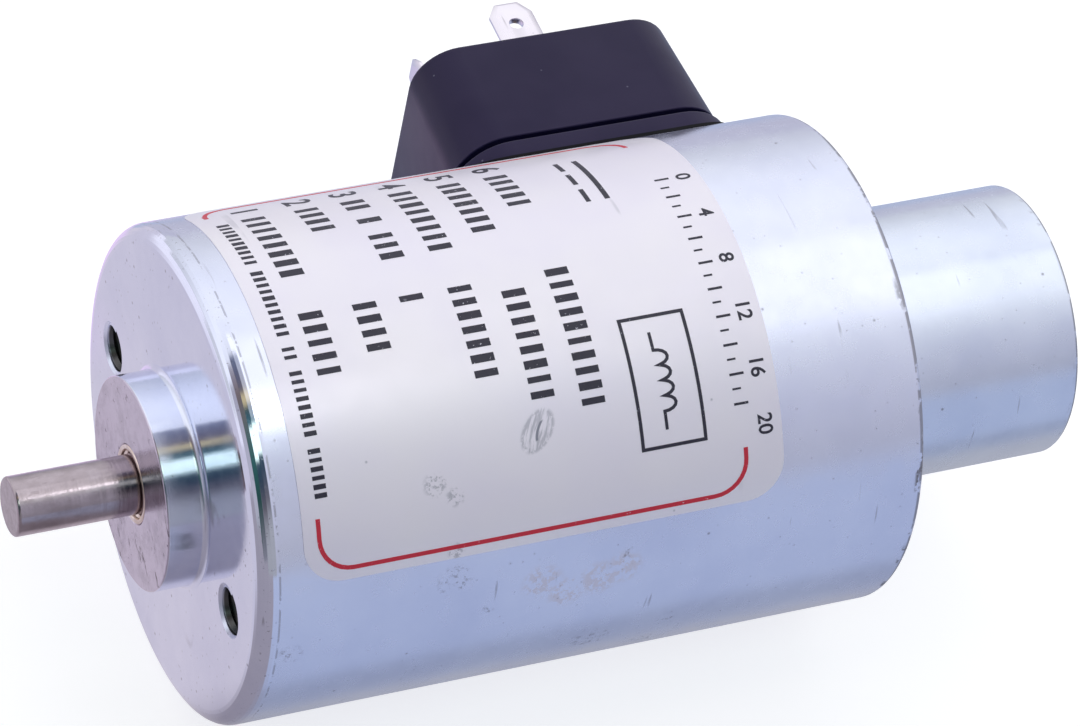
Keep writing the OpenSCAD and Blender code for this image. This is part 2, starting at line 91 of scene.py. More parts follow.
class NodeKit:
    """Adds and links nodes in one tree with little writing."""

    def __init__(self, tree: Tree) -> None:
        """Keeps the tree that nodes go into."""
        self.tree = tree
        self.count = 0

    def add(self, kind: str, title: str = "", **sockets: object) -> Node:
        """Adds a node and fills its sockets.

        Args:
            kind: Blender's node type name.
            title: Label shown on the node.
            **sockets: Socket name with underscores for spaces; a value or an output socket.

        Returns:
            The new node.
        """
        node = self.tree.nodes.new(kind)
        node.label = title
        node.location = (220 * (self.count % 9), -260 * (self.count // 9))
        self.count += 1
        for name, value in sockets.items():
            self.put(node, name.replace("_", " "), value)
        return node

    def put(self, node: Node, name: str | int, value: object) -> None:
        """Sets a socket by name or number to a value, or links an output socket to it.

        Args:
            node: The node.
            name: Name or number of its input.
            value: A value, or the output socket to link.
        """
        socket = node.inputs[name]
        if isinstance(value, Socket):
            self.tree.links.new(value, socket)
        else:
            socket.default_value = value

    def math(self, operation: str, a: object, b: object = 0.0, c: object = 0.0) -> Socket:
        """Adds a Math node.

        Args:
            operation: Name of the operation.
            a: First value or socket.
            b: Second value or socket.
            c: Third value or socket, where the operation takes one.

        Returns:
            The node's value output.
        """
        node = self.add("ShaderNodeMath")
        node.operation = operation
        for i, value in enumerate((a, b, c)):
            self.put(node, i, value)
        return node.outputs[0]

    def ramp(
        self, fac: object, low: float, high: float, to_low: float = 0.0, to_high: float = 1.0
    ) -> Socket:
        """Maps a value smoothly from one range to another.

        Args:
            fac: Value socket to map.
            low: Start of the range read.
            high: End of the range read.
            to_low: Result at low.
            to_high: Result at high.

        Returns:
            The mapped value's socket.
        """
        node = self.add("ShaderNodeMapRange")
        node.interpolation_type = "SMOOTHSTEP"
        for i, value in enumerate((fac, low, high, to_low, to_high)):
            self.put(node, i, value)
        return node.outputs[0]

    def length(self, a: object, b: object) -> Socket:
        """Length of the vector with the two parts a and b."""
        return self.math("SQRT", self.math("ADD", self.math("POWER", a, 2.0), self.math("POWER", b, 2.0)))

    def times(self, *values: object) -> Socket:
        """Product of two or more values.

        Args:
            *values: Values or sockets.

        Returns:
            The product's socket.
        """
        product = values[0]
        for value in values[1:]:
            product = self.math("MULTIPLY", product, value)
        return product

    def most(self, *values: object) -> Socket:
        """The largest of two or more values.

        Args:
            *values: Values or sockets.

        Returns:
            The largest value's socket.
        """
        largest = values[0]
        for value in values[1:]:
            largest = self.math("MAXIMUM", largest, value)
        return largest

    def blend(self, fac: object, a: object, b: object) -> Socket:
        """Mixes two colours and returns the colour socket.

        Args:
            fac: Share of b.
            a: First colour.
            b: Second colour.

        Returns:
            The colour socket.
        """
        node = self.tree.nodes.new("ShaderNodeMix")
        node.data_type = "RGBA"
        self.count += 1
        for name, value in (("Factor_Float", fac), ("A_Color", a), ("B_Color", b)):
            socket = next(s for s in node.inputs if s.identifier == name)
            if isinstance(value, Socket):
                self.tree.links.new(value, socket)
            else:
                socket.default_value = value if isinstance(value, float) else (*value, 1.0)[:4]
        return next(s for s in node.outputs if s.identifier == "Result_Color")

    def noise(
        self, vector: object, scale: float, detail: float = 3.0, rough: float = 0.5
    ) -> Socket:
        """Adds a noise texture and returns its value."""
        node = self.add("ShaderNodeTexNoise", Vector=vector, Scale=scale, Detail=detail, Roughness=rough)
        return node.outputs[0]


class Effect(Enum):
    """Surface effects that several finishes share, each one node group."""

    TURNED = "turned_marks"
    MOTTLE = "plating_mottle"
    SCRATCH = "fine_scratches"
    SPECKS = "pits_and_specks"
    BAND = "edge_band"
    GRAIN = "moulded_grain"


class EffectLibrary:
    """Builds each shared effect once and places it in materials."""

    def __init__(self) -> None:
        """Starts with nothing built."""
        self.groups: dict[Effect, Tree] = {}
        self.makers: dict[Effect, Callable[[], Tree]] = {
            Effect.TURNED: self._turned,
            Effect.MOTTLE: self._mottle,
            Effect.SCRATCH: self._scratch,
            Effect.SPECKS: self._specks,
            Effect.BAND: self._band,
            Effect.GRAIN: self._grain,
        }

    def place(self, kit: NodeKit, effect: Effect, **sockets: object) -> Node:
        """Places a shared effect in a material.

        Args:
            kit: The material's node kit.
            effect: Which effect.
            **sockets: The group's inputs by name, spaces as underscores.

        Returns:
            The group node.
        """
        if effect not in self.groups:
            self.groups[effect] = self.makers[effect]()
        node = kit.add("ShaderNodeGroup", effect.value)
        node.node_tree = self.groups[effect]
        for name, value in sockets.items():
            kit.put(node, name.replace("_", " "), value)
        return node

    @staticmethod
    def _open(
        effect: Effect, inputs: Sequence[tuple[str, str, object]], outputs: Sequence[str]
    ) -> tuple[NodeKit, Node, Node]:
        """Starts a node group.

        Args:
            effect: The effect it is for.
            inputs: Name, socket type and default of each input.
            outputs: Names of its value outputs.

        Returns:
            The group's kit, its input node and its output node.
        """
        tree = bpy.data.node_groups.new(effect.value, "ShaderNodeTree")
        for name, kind, value in inputs:
            socket = tree.interface.new_socket(name=name, in_out="INPUT", socket_type=kind)
            if value is not None:
                socket.default_value = value
        for name in outputs:
            tree.interface.new_socket(name=name, in_out="OUTPUT", socket_type="NodeSocketFloat")
        kit = NodeKit(tree)
        return kit, kit.add("NodeGroupInput"), kit.add("NodeGroupOutput")

    def _turned(self) -> Tree:
        """Fine rings left by turning: they follow the distance along and from the axis.

        Returns:
            The group.
        """
        kit, given, out = self._open(
            Effect.TURNED,
            [
                ("Vector", "NodeSocketVector", None), ("Density", "NodeSocketFloat", 3000.0),
                ("Streak", "NodeSocketFloat", 40.0),
            ],
            ["Line", "Sweep"],
        )
        part = kit.add("ShaderNodeSeparateXYZ", Vector=given.outputs["Vector"])
        radius = kit.length(part.outputs[1], part.outputs[2])
        angle = kit.math("ARCTAN2", part.outputs[1], part.outputs[2])
        along = kit.times(part.outputs[0], given.outputs["Density"])
        across = kit.times(radius, given.outputs["Density"])
        spot = kit.add("ShaderNodeCombineXYZ", X=along, Y=across, Z=kit.times(angle, 0.35))
        kit.put(out, "Line", kit.noise(spot.outputs[0], 1.0, 2.0, 0.6))
        sweep = kit.add(
            "ShaderNodeCombineXYZ", X=kit.times(part.outputs[0], given.outputs["Streak"]),
            Y=kit.times(radius, given.outputs["Streak"]), Z=kit.times(angle, 2.2),
        )
        kit.put(out, "Sweep", kit.noise(sweep.outputs[0], 1.0, 3.0, 0.55))
        return kit.tree

    def _mottle(self) -> Tree:
        """Cloudy change of tone in a plated or moulded surface.

        Returns:
            The group.
        """
        kit, given, out = self._open(
            Effect.MOTTLE,
            [("Vector", "NodeSocketVector", None), ("Scale", "NodeSocketFloat", 60.0)],
            ["Cloud", "Fine"],
        )
        for name, factor, detail in (("Cloud", 1.0, 3.0), ("Fine", 9.0, 5.0)):
            scale = kit.times(given.outputs["Scale"], factor)
            kit.put(out, name, kit.noise(given.outputs["Vector"], scale, detail, 0.6))
        return kit.tree

    def _scratch(self) -> Tree:
        """Sparse thin scratches that run along the stretched direction.

        Returns:
            The group.
        """
        kit, given, out = self._open(
            Effect.SCRATCH,
            [
                ("Vector", "NodeSocketVector", None), ("Across", "NodeSocketFloat", 1500.0),
                ("Along", "NodeSocketFloat", 90.0), ("Cover", "NodeSocketFloat", 0.7),
            ],
            ["Mask"],
        )
        part = kit.add("ShaderNodeSeparateXYZ", Vector=given.outputs["Vector"])
        lean = kit.math("MULTIPLY_ADD", part.outputs[2], 0.35, part.outputs[1])
        spot = kit.add(
            "ShaderNodeCombineXYZ",
            X=kit.times(part.outputs[0], given.outputs["Across"]),
            Y=kit.times(lean, given.outputs["Along"]),
            Z=kit.times(part.outputs[2], given.outputs["Along"]),
        )
        line = kit.noise(spot.outputs[0], 1.0, 1.0, 0.4)
        patch = kit.noise(given.outputs["Vector"], 160.0, 2.0, 0.5)
        thin = kit.ramp(line, given.outputs["Cover"], kit.math("ADD", given.outputs["Cover"], 0.05))
        kit.put(out, "Mask", kit.times(thin, kit.ramp(patch, 0.5, 0.62)))
        return kit.tree

    def _specks(self) -> Tree:
        """Small round specks: pits in plating, dust on plastic.

        Returns:
            The group.
        """
        kit, given, out = self._open(
            Effect.SPECKS,
            [
                ("Vector", "NodeSocketVector", None), ("Scale", "NodeSocketFloat", 900.0),
                ("Size", "NodeSocketFloat", 0.18), ("Share", "NodeSocketFloat", 0.12),
            ],
            ["Mask"],
        )
        cell = kit.add("ShaderNodeTexVoronoi", Vector=given.outputs["Vector"], Scale=given.outputs["Scale"])
        pick = kit.add("ShaderNodeSeparateXYZ", Vector=cell.outputs["Color"])
        chosen = kit.math("LESS_THAN", pick.outputs[0], given.outputs["Share"])
        dot = kit.ramp(cell.outputs["Distance"], 0.0, given.outputs["Size"], 1.0, 0.0)
        kit.put(out, "Mask", kit.times(chosen, dot))
        return kit.tree

    def _band(self) -> Tree:
        """A soft-edged band where a coordinate is near a value, broken up by noise.

        Returns:
            The group.
        """
        kit, given, out = self._open(
            Effect.BAND,
            [
                ("Vector", "NodeSocketVector", None), ("Coordinate", "NodeSocketFloat", 0.0),
                ("Centre", "NodeSocketFloat", 0.0), ("Half Width", "NodeSocketFloat", 0.0005),
                ("Break Up", "NodeSocketFloat", 0.5), ("Scale", "NodeSocketFloat", 500.0),
            ],
            ["Mask"],
        )
        off = kit.math("ABSOLUTE", kit.math("SUBTRACT", given.outputs["Coordinate"], given.outputs["Centre"]))
        near = kit.ramp(kit.math("DIVIDE", off, given.outputs["Half Width"]), 0.55, 1.0, 1.0, 0.0)
        flake = kit.noise(given.outputs["Vector"], given.outputs["Scale"], 4.0, 0.65)
        keep = kit.ramp(flake, given.outputs["Break Up"], kit.math("ADD", given.outputs["Break Up"], 0.06))
        kit.put(out, "Mask", kit.times(near, keep))
        return kit.tree

    def _grain(self) -> Tree:
        """Fine grain of moulded plastic and rubber.

        Returns:
            The group.
        """
        kit, given, out = self._open(
            Effect.GRAIN,
            [("Vector", "NodeSocketVector", None), ("Scale", "NodeSocketFloat", 4000.0)],
            ["Height", "Tone"],
        )
        kit.put(out, "Height", kit.noise(given.outputs["Vector"], given.outputs["Scale"], 3.0, 0.6))
        kit.put(
            out, "Tone", kit.noise(given.outputs["Vector"], kit.times(given.outputs["Scale"], 0.03), 2.0, 0.5)
        )
        return kit.tree


EFFECTS = EffectLibrary()
Spots = tuple[tuple[float, float, float, float], ...]
SCUFFS: Spots = (
    (-20.0, 24.2, 6.4, 2.2), (-38.1, 24.3, 5.8, 0.9), (-23.9, 24.9, 2.1, 0.8), (-36.5, 24.0, -7.1, 2.6),
    (-44.5, 24.2, -6.4, 1.3), (-43.5, 22.2, -11.5, 2.4), (-3.5, 25.0, 1.1, 1.6),
)
STAINS: Spots = (
    (-29.3, 24.6, 4.2, 2.6), (-32.0, 24.9, 2.3, 2.4), (-35.4, 24.8, 3.3, 2.6), (-37.9, 24.7, 4.1, 2.4)
)


def shade_start(name: str) -> tuple[Material, NodeKit, Node, Socket]:
    """Starts a material.

    Args:
        name: The material's name.

    Returns:
        The material, its kit, its surface shader and the object coordinates.
    """
    material = bpy.data.materials.new(name)
    material.use_nodes = True
    material.node_tree.nodes.clear()
    kit = NodeKit(material.node_tree)
    surface = kit.add("ShaderNodeBsdfPrincipled")
    kit.add("ShaderNodeOutputMaterial", Surface=surface.outputs[0])
    spot = kit.add("ShaderNodeTexCoord").outputs["Object"]
    return material, kit, surface, spot


def relief(kit: NodeKit, surface: Node, height: object, strength: float) -> None:
    """Feeds a height into the surface as a bump of the given strength."""
    bump = kit.add("ShaderNodeBump", Height=height, Strength=strength, Distance=RELIEF_DEPTH)
    kit.put(surface, "Normal", bump.outputs["Normal"])


def ragged(
    kit: NodeKit, spot: Socket, places: Spots, scale: float, keep: float
) -> Socket:
    """Ragged patches about places, each (x, y, z, size) in millimetres.

    Args:
        kit: The material's kit.
        spot: Object coordinates.
        places: Middle and size of each patch.
        scale: Scale of the ragged edge.
        keep: Noise level over which a patch shows.

    Returns:
        The mask of all patches.
    """
    total: object = 0.0
    for x, y, z, size in places:
        away = kit.add("ShaderNodeVectorMath", Vector=spot)
        away.operation = "DISTANCE"
        away.inputs[1].default_value = (x * MM, y * MM, z * MM)
        total = kit.most(total, kit.ramp(away.outputs["Value"], size * MM * 0.45, size * MM, 1.0, 0.0))
    torn = kit.ramp(kit.noise(spot, scale, 5.0, 0.75), keep, keep + 0.08)
    return kit.times(total, torn)


@dataclass(frozen=True)
class PlatedFinish:
    """Bright zinc plating on turned or drawn steel; places are in millimetres."""

    name: str
    light: Colour = (0.82, 0.86, 0.99)
    dark: Colour = (0.70, 0.74, 0.90)
    bare: Colour = (0.12, 0.10, 0.10)
    roughness: float = 0.24
    line_density: float = 2600.0
    line_depth: float = 0.35
    pit_share: float = 0.1
    polish_x: Optional[float] = None
    crease_x: Optional[float] = None
    rim_x: Optional[float] = None
    rim_r: float = 25.0
    rim_chips: float = 0.8
    scuffs: Spots = ()
    stains: Spots = ()
    stain: Colour = (0.74, 0.67, 0.68)
    bores: tuple[tuple[float, float, float], ...] = ()
    # painted shade: the colour that the hole walls darken to with depth
    hole_wall: Colour = (0.10, 0.10, 0.10)
    face_x: Optional[float] = None
    face: Colour = (0.63, 0.575, 0.69)
    smear_dark: float = 0.62
    down_way: tuple[float, float] = (0.8, -0.63)
    across_way: tuple[float, float] = (0.63, 0.8)
    crack_scale: tuple[float, float] = (95.0, 300.0)
    chatter_scale: tuple[float, float] = (34.0, 900.0)
    brushed: float = 0.0

    def _edges(self, kit: NodeKit, spot: Socket, part: Node, worn: object) -> object:
        """Adds the fine worn line and chips of the rim, and the broken crease behind the front round.

        Args:
            spot: Object coordinates.
            part: Their separate parts.
            worn: Mask of the wear so far.

        Returns:
            The mask with the edges.
        """
        x = part.outputs[0]
        radius = kit.length(part.outputs[1], part.outputs[2])
        outer = kit.ramp(radius, (self.rim_r - 0.75) * MM, (self.rim_r - 0.35) * MM)
        if self.rim_x is not None:
            line = EFFECTS.place(
                kit, Effect.BAND, Vector=spot, Coordinate=x, Centre=self.rim_x * MM, Half_Width=0.00036,
                Break_Up=0.4, Scale=420.0,
            )
            chip = EFFECTS.place(
                kit, Effect.BAND, Vector=spot, Coordinate=x, Centre=self.rim_x * MM, Half_Width=0.00085,
                Break_Up=0.52, Scale=520.0,
            )
            area = kit.ramp(kit.noise(spot, 65.0, 2.0, 0.5), 0.47, 0.55)
            rim = kit.most(kit.times(line.outputs[0], 0.6), kit.times(chip.outputs[0], area, self.rim_chips))
            worn = kit.most(worn, kit.times(rim, outer))
        if self.crease_x is not None:
            crease = EFFECTS.place(
                kit, Effect.BAND, Vector=spot, Coordinate=x, Centre=self.crease_x * MM, Half_Width=0.00013,
                Break_Up=0.47, Scale=600.0,
            )
            grit = EFFECTS.place(
                kit, Effect.BAND, Vector=spot, Coordinate=x, Centre=-1.1 * MM, Half_Width=0.0008,
                Break_Up=0.62, Scale=2400.0,
            )
            marks = kit.times(kit.most(crease.outputs[0], grit.outputs[0]), 0.4)
            worn = kit.most(worn, kit.times(marks, outer))
        return worn

    def _face(
        self, kit: NodeKit, spot: Socket, part: Node, colour: object, worn: object
    ) -> tuple[object, object]:
        """Gives the turned end face its own tone, smears and cracks.

        Args:
            spot: Object coordinates.
            part: Their separate parts.
            colour: Colour so far.
            worn: Mask of the wear so far.

        Returns:
            The new colour and mask.
        """
        front = kit.ramp(part.outputs[0], (self.face_x - 0.15) * MM, self.face_x * MM)
        down, across = (
            kit.math("MULTIPLY_ADD", part.outputs[1], in_y, kit.times(part.outputs[2], in_z))
            for in_y, in_z in (self.down_way, self.across_way)
        )
        thick, fine = self.crack_scale
        flow = kit.add("ShaderNodeCombineXYZ", X=kit.times(down, thick), Y=kit.times(across, fine))
        crack = kit.ramp(kit.noise(flow.outputs[0], 1.0, 6.0, 0.78), 0.545, 0.61)
        low = kit.ramp(down, 0.0032, 0.005, 0.1, 1.0)
        smear = kit.ramp(kit.noise(spot, 420.0, 6.0, 0.7), 0.42, 0.68)
        spots = kit.ramp(kit.noise(spot, 1100.0, 3.0, 0.6), 0.64, 0.7)
        smeared = tuple(c * self.smear_dark for c in self.face)
        colour = kit.blend(front, colour, kit.blend(kit.times(smear, 0.55), self.face, smeared))
        marks = kit.most(kit.times(crack, low), kit.times(spots, 0.5))
        return colour, kit.most(worn, kit.times(marks, front, 0.8))

    def _holes(
        self, kit: NodeKit, part: Node, colour: object, rough: object
    ) -> tuple[object, object]:
        """Paints shade on the hole walls deeper than 0.2 mm into the face, and dulls the walls and the rims
        round them.

        Args:
            part: Separate object coordinates.
            colour: Colour so far.
            rough: Roughness so far.

        Returns:
            The new colour and roughness.
        """
        flat = kit.add("ShaderNodeCombineXYZ", Y=part.outputs[1], Z=part.outputs[2])
        for y, z, r in self.bores:
            away = kit.add("ShaderNodeVectorMath", Vector=flat.outputs[0])
            away.operation = "DISTANCE"
            away.inputs[1].default_value = (0.0, y * MM, z * MM)
            inside = kit.ramp(away.outputs["Value"], (r - 0.03) * MM, (r + 0.03) * MM, 1.0, 0.0)
            deep = kit.times(inside, kit.ramp(part.outputs[0], -0.2 * MM, -0.5 * MM))
            # painted shade in the holes, darker the deeper in
            colour = kit.blend(deep, colour, self.hole_wall)
            rough = kit.most(rough, kit.times(inside, 0.34))
        return colour, rough

    def _face_height(
        self, kit: NodeKit, spot: Socket, part: Node, ring: object
    ) -> object:
        """Adds the tool's chatter to the turned side and flattens and grains the end face.

        Args:
            spot: Object coordinates.
            part: Their separate parts.
            ring: Height so far.

        Returns:
            The new height.
        """
        angle = kit.math("ARCTAN2", part.outputs[1], part.outputs[2])
        round_it, along = self.chatter_scale
        chatter = kit.add(
            "ShaderNodeCombineXYZ", X=kit.times(angle, round_it), Y=kit.times(part.outputs[0], along)
        )
        ring = kit.math("MULTIPLY_ADD", kit.noise(chatter.outputs[0], 1.0, 4.0, 0.65), 0.5, ring)
        end = kit.ramp(part.outputs[0], (self.face_x - 0.3) * MM, self.face_x * MM)
        ring = kit.times(ring, kit.math("MULTIPLY_ADD", end, -0.85, 1.0))
        return kit.math("MULTIPLY_ADD", kit.times(kit.noise(spot, 5200.0, 3.0, 0.7), end), 2.4, ring)

    def _brush(self, kit: NodeKit, surface: Node) -> None:
        """Stretches the shine across the turning lines.

        Args:
            surface: The surface shader.
        """
        kit.put(surface, "Anisotropic", self.brushed)
        kit.put(surface, "Anisotropic Rotation", 0.25)
        tangent = kit.add("ShaderNodeTangent")
        tangent.direction_type = "RADIAL"
        tangent.axis = "X"
        kit.put(surface, "Tangent", tangent.outputs["Tangent"])

    def material(self) -> Material:
        """Builds the plating with its clouds, turning lines, pits, scratches and worn places.

        Returns:
            The material.
        """
        material, kit, surface, spot = shade_start(self.name)
        mottle = EFFECTS.place(kit, Effect.MOTTLE, Vector=spot, Scale=55.0)
        turned = EFFECTS.place(kit, Effect.TURNED, Vector=spot, Density=self.line_density, Streak=130.0)
        pits = EFFECTS.place(kit, Effect.SPECKS, Vector=spot, Scale=620.0, Size=0.16, Share=self.pit_share)
        dust = EFFECTS.place(kit, Effect.SPECKS, Vector=spot, Scale=1700.0, Size=0.3, Share=self.pit_share)
        scratch = EFFECTS.place(kit, Effect.SCRATCH, Vector=spot, Across=1500.0, Along=110.0, Cover=0.71)
        part = kit.add("ShaderNodeSeparateXYZ", Vector=spot)
        tone = kit.math(
            "ADD", kit.times(kit.ramp(mottle.outputs["Cloud"], 0.3, 0.7), 0.5),
            kit.times(kit.ramp(turned.outputs["Sweep"], 0.3, 0.7), 0.35),
        )
        tone = kit.math("MULTIPLY_ADD", kit.ramp(mottle.outputs["Fine"], 0.35, 0.65), 0.15, tone)
        colour = kit.blend(tone, self.dark, self.light)
        worn: object = kit.most(
            kit.times(pits.outputs[0], 0.65), kit.times(scratch.outputs[0], 0.4),
            kit.times(dust.outputs[0], 0.3),
        )
        if self.face_x is not None:
            colour, worn = self._face(kit, spot, part, colour, worn)
        worn = self._edges(kit, spot, part, worn)
        if self.scuffs:
            worn = kit.most(worn, kit.times(ragged(kit, spot, self.scuffs, 1500.0, 0.53), 0.42))
        if self.stains:
            stained = ragged(kit, spot, self.stains, 1100.0, 0.46)
            grit = EFFECTS.place(kit, Effect.SPECKS, Vector=spot, Scale=2300.0, Size=0.4, Share=0.22)
            colour = kit.blend(kit.times(stained, 0.7), colour, self.stain)
            worn = kit.most(worn, kit.times(stained, grit.outputs[0], 0.35))
        rough = kit.math(
            "ADD", kit.ramp(mottle.outputs["Fine"], 0.3, 0.7, self.roughness - 0.04, self.roughness + 0.05),
            kit.times(worn, 0.3),
        )
        if self.polish_x is not None:
            start, end = (self.polish_x - 0.3) * MM, (self.polish_x + 0.3) * MM
            rough = kit.times(rough, kit.ramp(part.outputs[0], start, end, 1.0, 0.4))
        if self.bores:
            colour, rough = self._holes(kit, part, colour, rough)
        kit.put(surface, "Base Color", kit.blend(worn, colour, self.bare))
        kit.put(surface, "Metallic", kit.ramp(worn, 0.0, 1.0, 1.0, 0.8))
        kit.put(surface, "Roughness", rough)
        ring = kit.times(turned.outputs["Line"], self.line_depth)
        if self.face_x is not None:
            ring = self._face_height(kit, spot, part, ring)
        if self.brushed:
            self._brush(kit, surface)
        height = kit.math("SUBTRACT", ring, kit.times(worn, 0.8))
        relief(kit, surface, height, 0.28)
        return material


@dataclass(frozen=True)
class TurnedMetalFinish:
    """Plain turned or ground metal, such as the rod, bushes and brass pieces."""

    name: str
    colour: Colour
    shadow: Colour
    roughness: float = 0.3
    line_density: float = 4200.0
    line_depth: float = 0.6
    grain: float = 0.0

    def material(self) -> Material:
        """Builds the metal with fine turning lines, grain and cloudy tone.

        Returns:
            The material.
        """
        material, kit, surface, spot = shade_start(self.name)
        mottle = EFFECTS.place(kit, Effect.MOTTLE, Vector=spot, Scale=180.0)
        turned = EFFECTS.place(kit, Effect.TURNED, Vector=spot, Density=self.line_density, Streak=420.0)
        scratch = EFFECTS.place(kit, Effect.SCRATCH, Vector=spot, Across=900.0, Along=2600.0, Cover=0.64)
        tone = kit.math(
            "MULTIPLY_ADD", kit.ramp(turned.outputs["Sweep"], 0.25, 0.75), 0.6,
            kit.times(kit.ramp(mottle.outputs["Cloud"], 0.3, 0.7), 0.4),
        )
        mixed = kit.blend(tone, self.shadow, self.colour)
        kit.put(surface, "Base Color", kit.blend(kit.times(scratch.outputs[0], 0.5), mixed, self.shadow))
        kit.put(surface, "Metallic", 1.0)
        kit.put(
            surface, "Roughness",
            kit.ramp(turned.outputs["Line"], 0.3, 0.7, self.roughness - 0.07, self.roughness + 0.08),
        )
        height = kit.times(turned.outputs["Line"], self.line_depth)
        if self.grain:
            height = kit.math("MULTIPLY_ADD", kit.noise(spot, 3400.0, 4.0, 0.7), self.grain, height)
        relief(kit, surface, height, 0.3)
        return material


@dataclass(frozen=True)
class MouldedFinish:
    """Moulded plastic or rubber with grain and light dust."""

    name: str
    colour: Colour
    tint: Colour
    roughness: float = 0.42
    grain: float = 4200.0
    dust_share: float = 0.05
    dust: Colour = (0.30, 0.30, 0.40)
    specular: float = 0.5
    gloss: Colour = (1.0, 1.0, 1.0)

    def material(self) -> Material:
        """Builds the plastic with its grain, tone and dust specks.

        Returns:
            The material.
        """
        material, kit, surface, spot = shade_start(self.name)
        grain = EFFECTS.place(kit, Effect.GRAIN, Vector=spot, Scale=self.grain)
        dust = EFFECTS.place(kit, Effect.SPECKS, Vector=spot, Scale=760.0, Size=0.13, Share=self.dust_share)
        mottle = EFFECTS.place(kit, Effect.MOTTLE, Vector=spot, Scale=90.0)
        base = kit.blend(kit.ramp(grain.outputs["Tone"], 0.35, 0.65), self.colour, self.tint)
        kit.put(surface, "Base Color", kit.blend(kit.times(dust.outputs[0], 0.7), base, self.dust))
        rough = kit.ramp(mottle.outputs["Cloud"], 0.3, 0.7, self.roughness - 0.05, self.roughness + 0.06)
        kit.put(surface, "Roughness", kit.math("ADD", rough, kit.times(dust.outputs[0], 0.3)))
        kit.put(surface, "Specular IOR Level", self.specular)
        kit.put(surface, "Specular Tint", (*self.gloss, 1.0))
        relief(kit, surface, grain.outputs["Height"], 0.22)
        return material


@dataclass(frozen=True)
class LabelFinish:
    """Printed polyester foil: pale satin sheet with faint marks and one scuff."""

    name: str = "label_foil_finish"
    sheet: Colour = (0.96, 0.93, 1.0)
    shade: Colour = (0.90, 0.862, 0.99)
    silver: float = 0.31
    mark: Colour = (0.24, 0.25, 0.32)
    scuff_at: Point = (-29.33, 17.24, 18.10)
    scuff_turn: float = -43.6
    scuff_lean: float = 0.4
    scuff_size: tuple[float, float] = (1.75, 2.15)
    smudges: Spots = ((-20.0, 23.05, 9.69, 1.1), (-18.3, 19.46, 15.70, 1.5), (-20.2, 20.38, 14.48, 1.2))

    def _scuff(self, kit: NodeKit, spot: Socket) -> Socket:
        """A rubbed oval: a dark curved line, strokes along it and a ragged rim.

        Args:
            spot: Object coordinates.

        Returns:
            The mark's mask.
        """
        part = kit.add("ShaderNodeSeparateXYZ", Vector=spot)
        x, y, z = ((kit.math("SUBTRACT", part.outputs[i], self.scuff_at[i] * MM)) for i in range(3))
        turn = math.radians(self.scuff_turn)
        w = kit.math("MULTIPLY_ADD", y, math.cos(turn), kit.times(z, math.sin(turn)))
        p = kit.math("MULTIPLY_ADD", w, -self.scuff_lean, x)
        wide, tall = (v * MM for v in self.scuff_size)
        away = kit.length(kit.math("DIVIDE", p, wide), kit.math("DIVIDE", w, tall))
        inside = kit.ramp(away, 0.85, 1.05, 1.0, 0.0)
        rim = kit.times(inside, kit.ramp(away, 0.72, 0.86))
        flow = kit.add("ShaderNodeCombineXYZ", X=kit.times(p, 2600.0), Y=kit.times(w, 420.0))
        strokes = kit.ramp(kit.noise(flow.outputs[0], 1.0, 3.0, 0.6), 0.44, 0.6)
        bend = kit.math("MULTIPLY_ADD", kit.math("POWER", w, 2.0), 220.0, p)
        line = kit.times(
            kit.ramp(kit.math("ABSOLUTE", bend), 0.00009, 0.0002, 1.0, 0.0),
            kit.ramp(kit.math("ABSOLUTE", w), 0.0008, 0.0011, 1.0, 0.0),
        )
        torn = kit.ramp(kit.noise(spot, 1500.0, 4.0, 0.7), 0.42, 0.55)
        soft = kit.most(kit.times(inside, strokes, 0.5), kit.times(rim, torn, 0.5))
        return kit.most(soft, line)

    def material(self) -> Material:
        """Builds the sheet with cloudy tone, specks, hairline marks and a scuffed spot.

        Returns:
            The material.
        """
        material, kit, surface, spot = shade_start(self.name)
        mottle = EFFECTS.place(kit, Effect.MOTTLE, Vector=spot, Scale=45.0)
        specks = EFFECTS.place(kit, Effect.SPECKS, Vector=spot, Scale=420.0, Size=0.09, Share=0.07)
        scratch = EFFECTS.place(kit, Effect.SCRATCH, Vector=spot, Across=700.0, Along=60.0, Cover=0.74)
        scuff = kit.most(
            self._scuff(kit, spot), kit.times(ragged(kit, spot, self.smudges, 1300.0, 0.48), 0.55)
        )
        sheet = kit.blend(kit.ramp(mottle.outputs["Cloud"], 0.3, 0.75), self.sheet, self.shade)
        marks = kit.most(kit.times(specks.outputs[0], 0.6), kit.times(scratch.outputs[0], 0.25))
        marks = kit.most(marks, kit.times(scuff, 0.95))
        kit.put(surface, "Base Color", kit.blend(marks, sheet, self.mark))
        kit.put(surface, "Roughness", kit.ramp(mottle.outputs["Fine"], 0.3, 0.7, 0.3, 0.38))
        kit.put(surface, "Metallic", kit.math("MULTIPLY_ADD", marks, -self.silver, self.silver))
        relief(kit, surface, kit.math("SUBTRACT", mottle.outputs["Fine"], scuff), 0.15)
        return material


@dataclass(frozen=True)
class InkFinish:
    """Printing ink that has worn through in spots to the sheet below."""

    name: str
    ink: Colour
    under: Colour = (0.84, 0.83, 0.96)
    wear: float = 0.71

    def material(self) -> Material:
        """Builds the ink with worn spots.

        Returns:
            The material.
        """
        material, kit, surface, spot = shade_start(self.name)
        mottle = EFFECTS.place(kit, Effect.MOTTLE, Vector=spot, Scale=150.0)
        gone = kit.ramp(mottle.outputs["Cloud"], self.wear, self.wear + 0.04)
        fleck = kit.ramp(kit.noise(spot, 2600.0, 3.0, 0.7), 0.66, 0.72)
        kit.put(surface, "Base Color", kit.blend(kit.most(gone, fleck), self.ink, self.under))
        kit.put(surface, "Roughness", kit.ramp(mottle.outputs["Fine"], 0.3, 0.7, 0.32, 0.45))
        return material


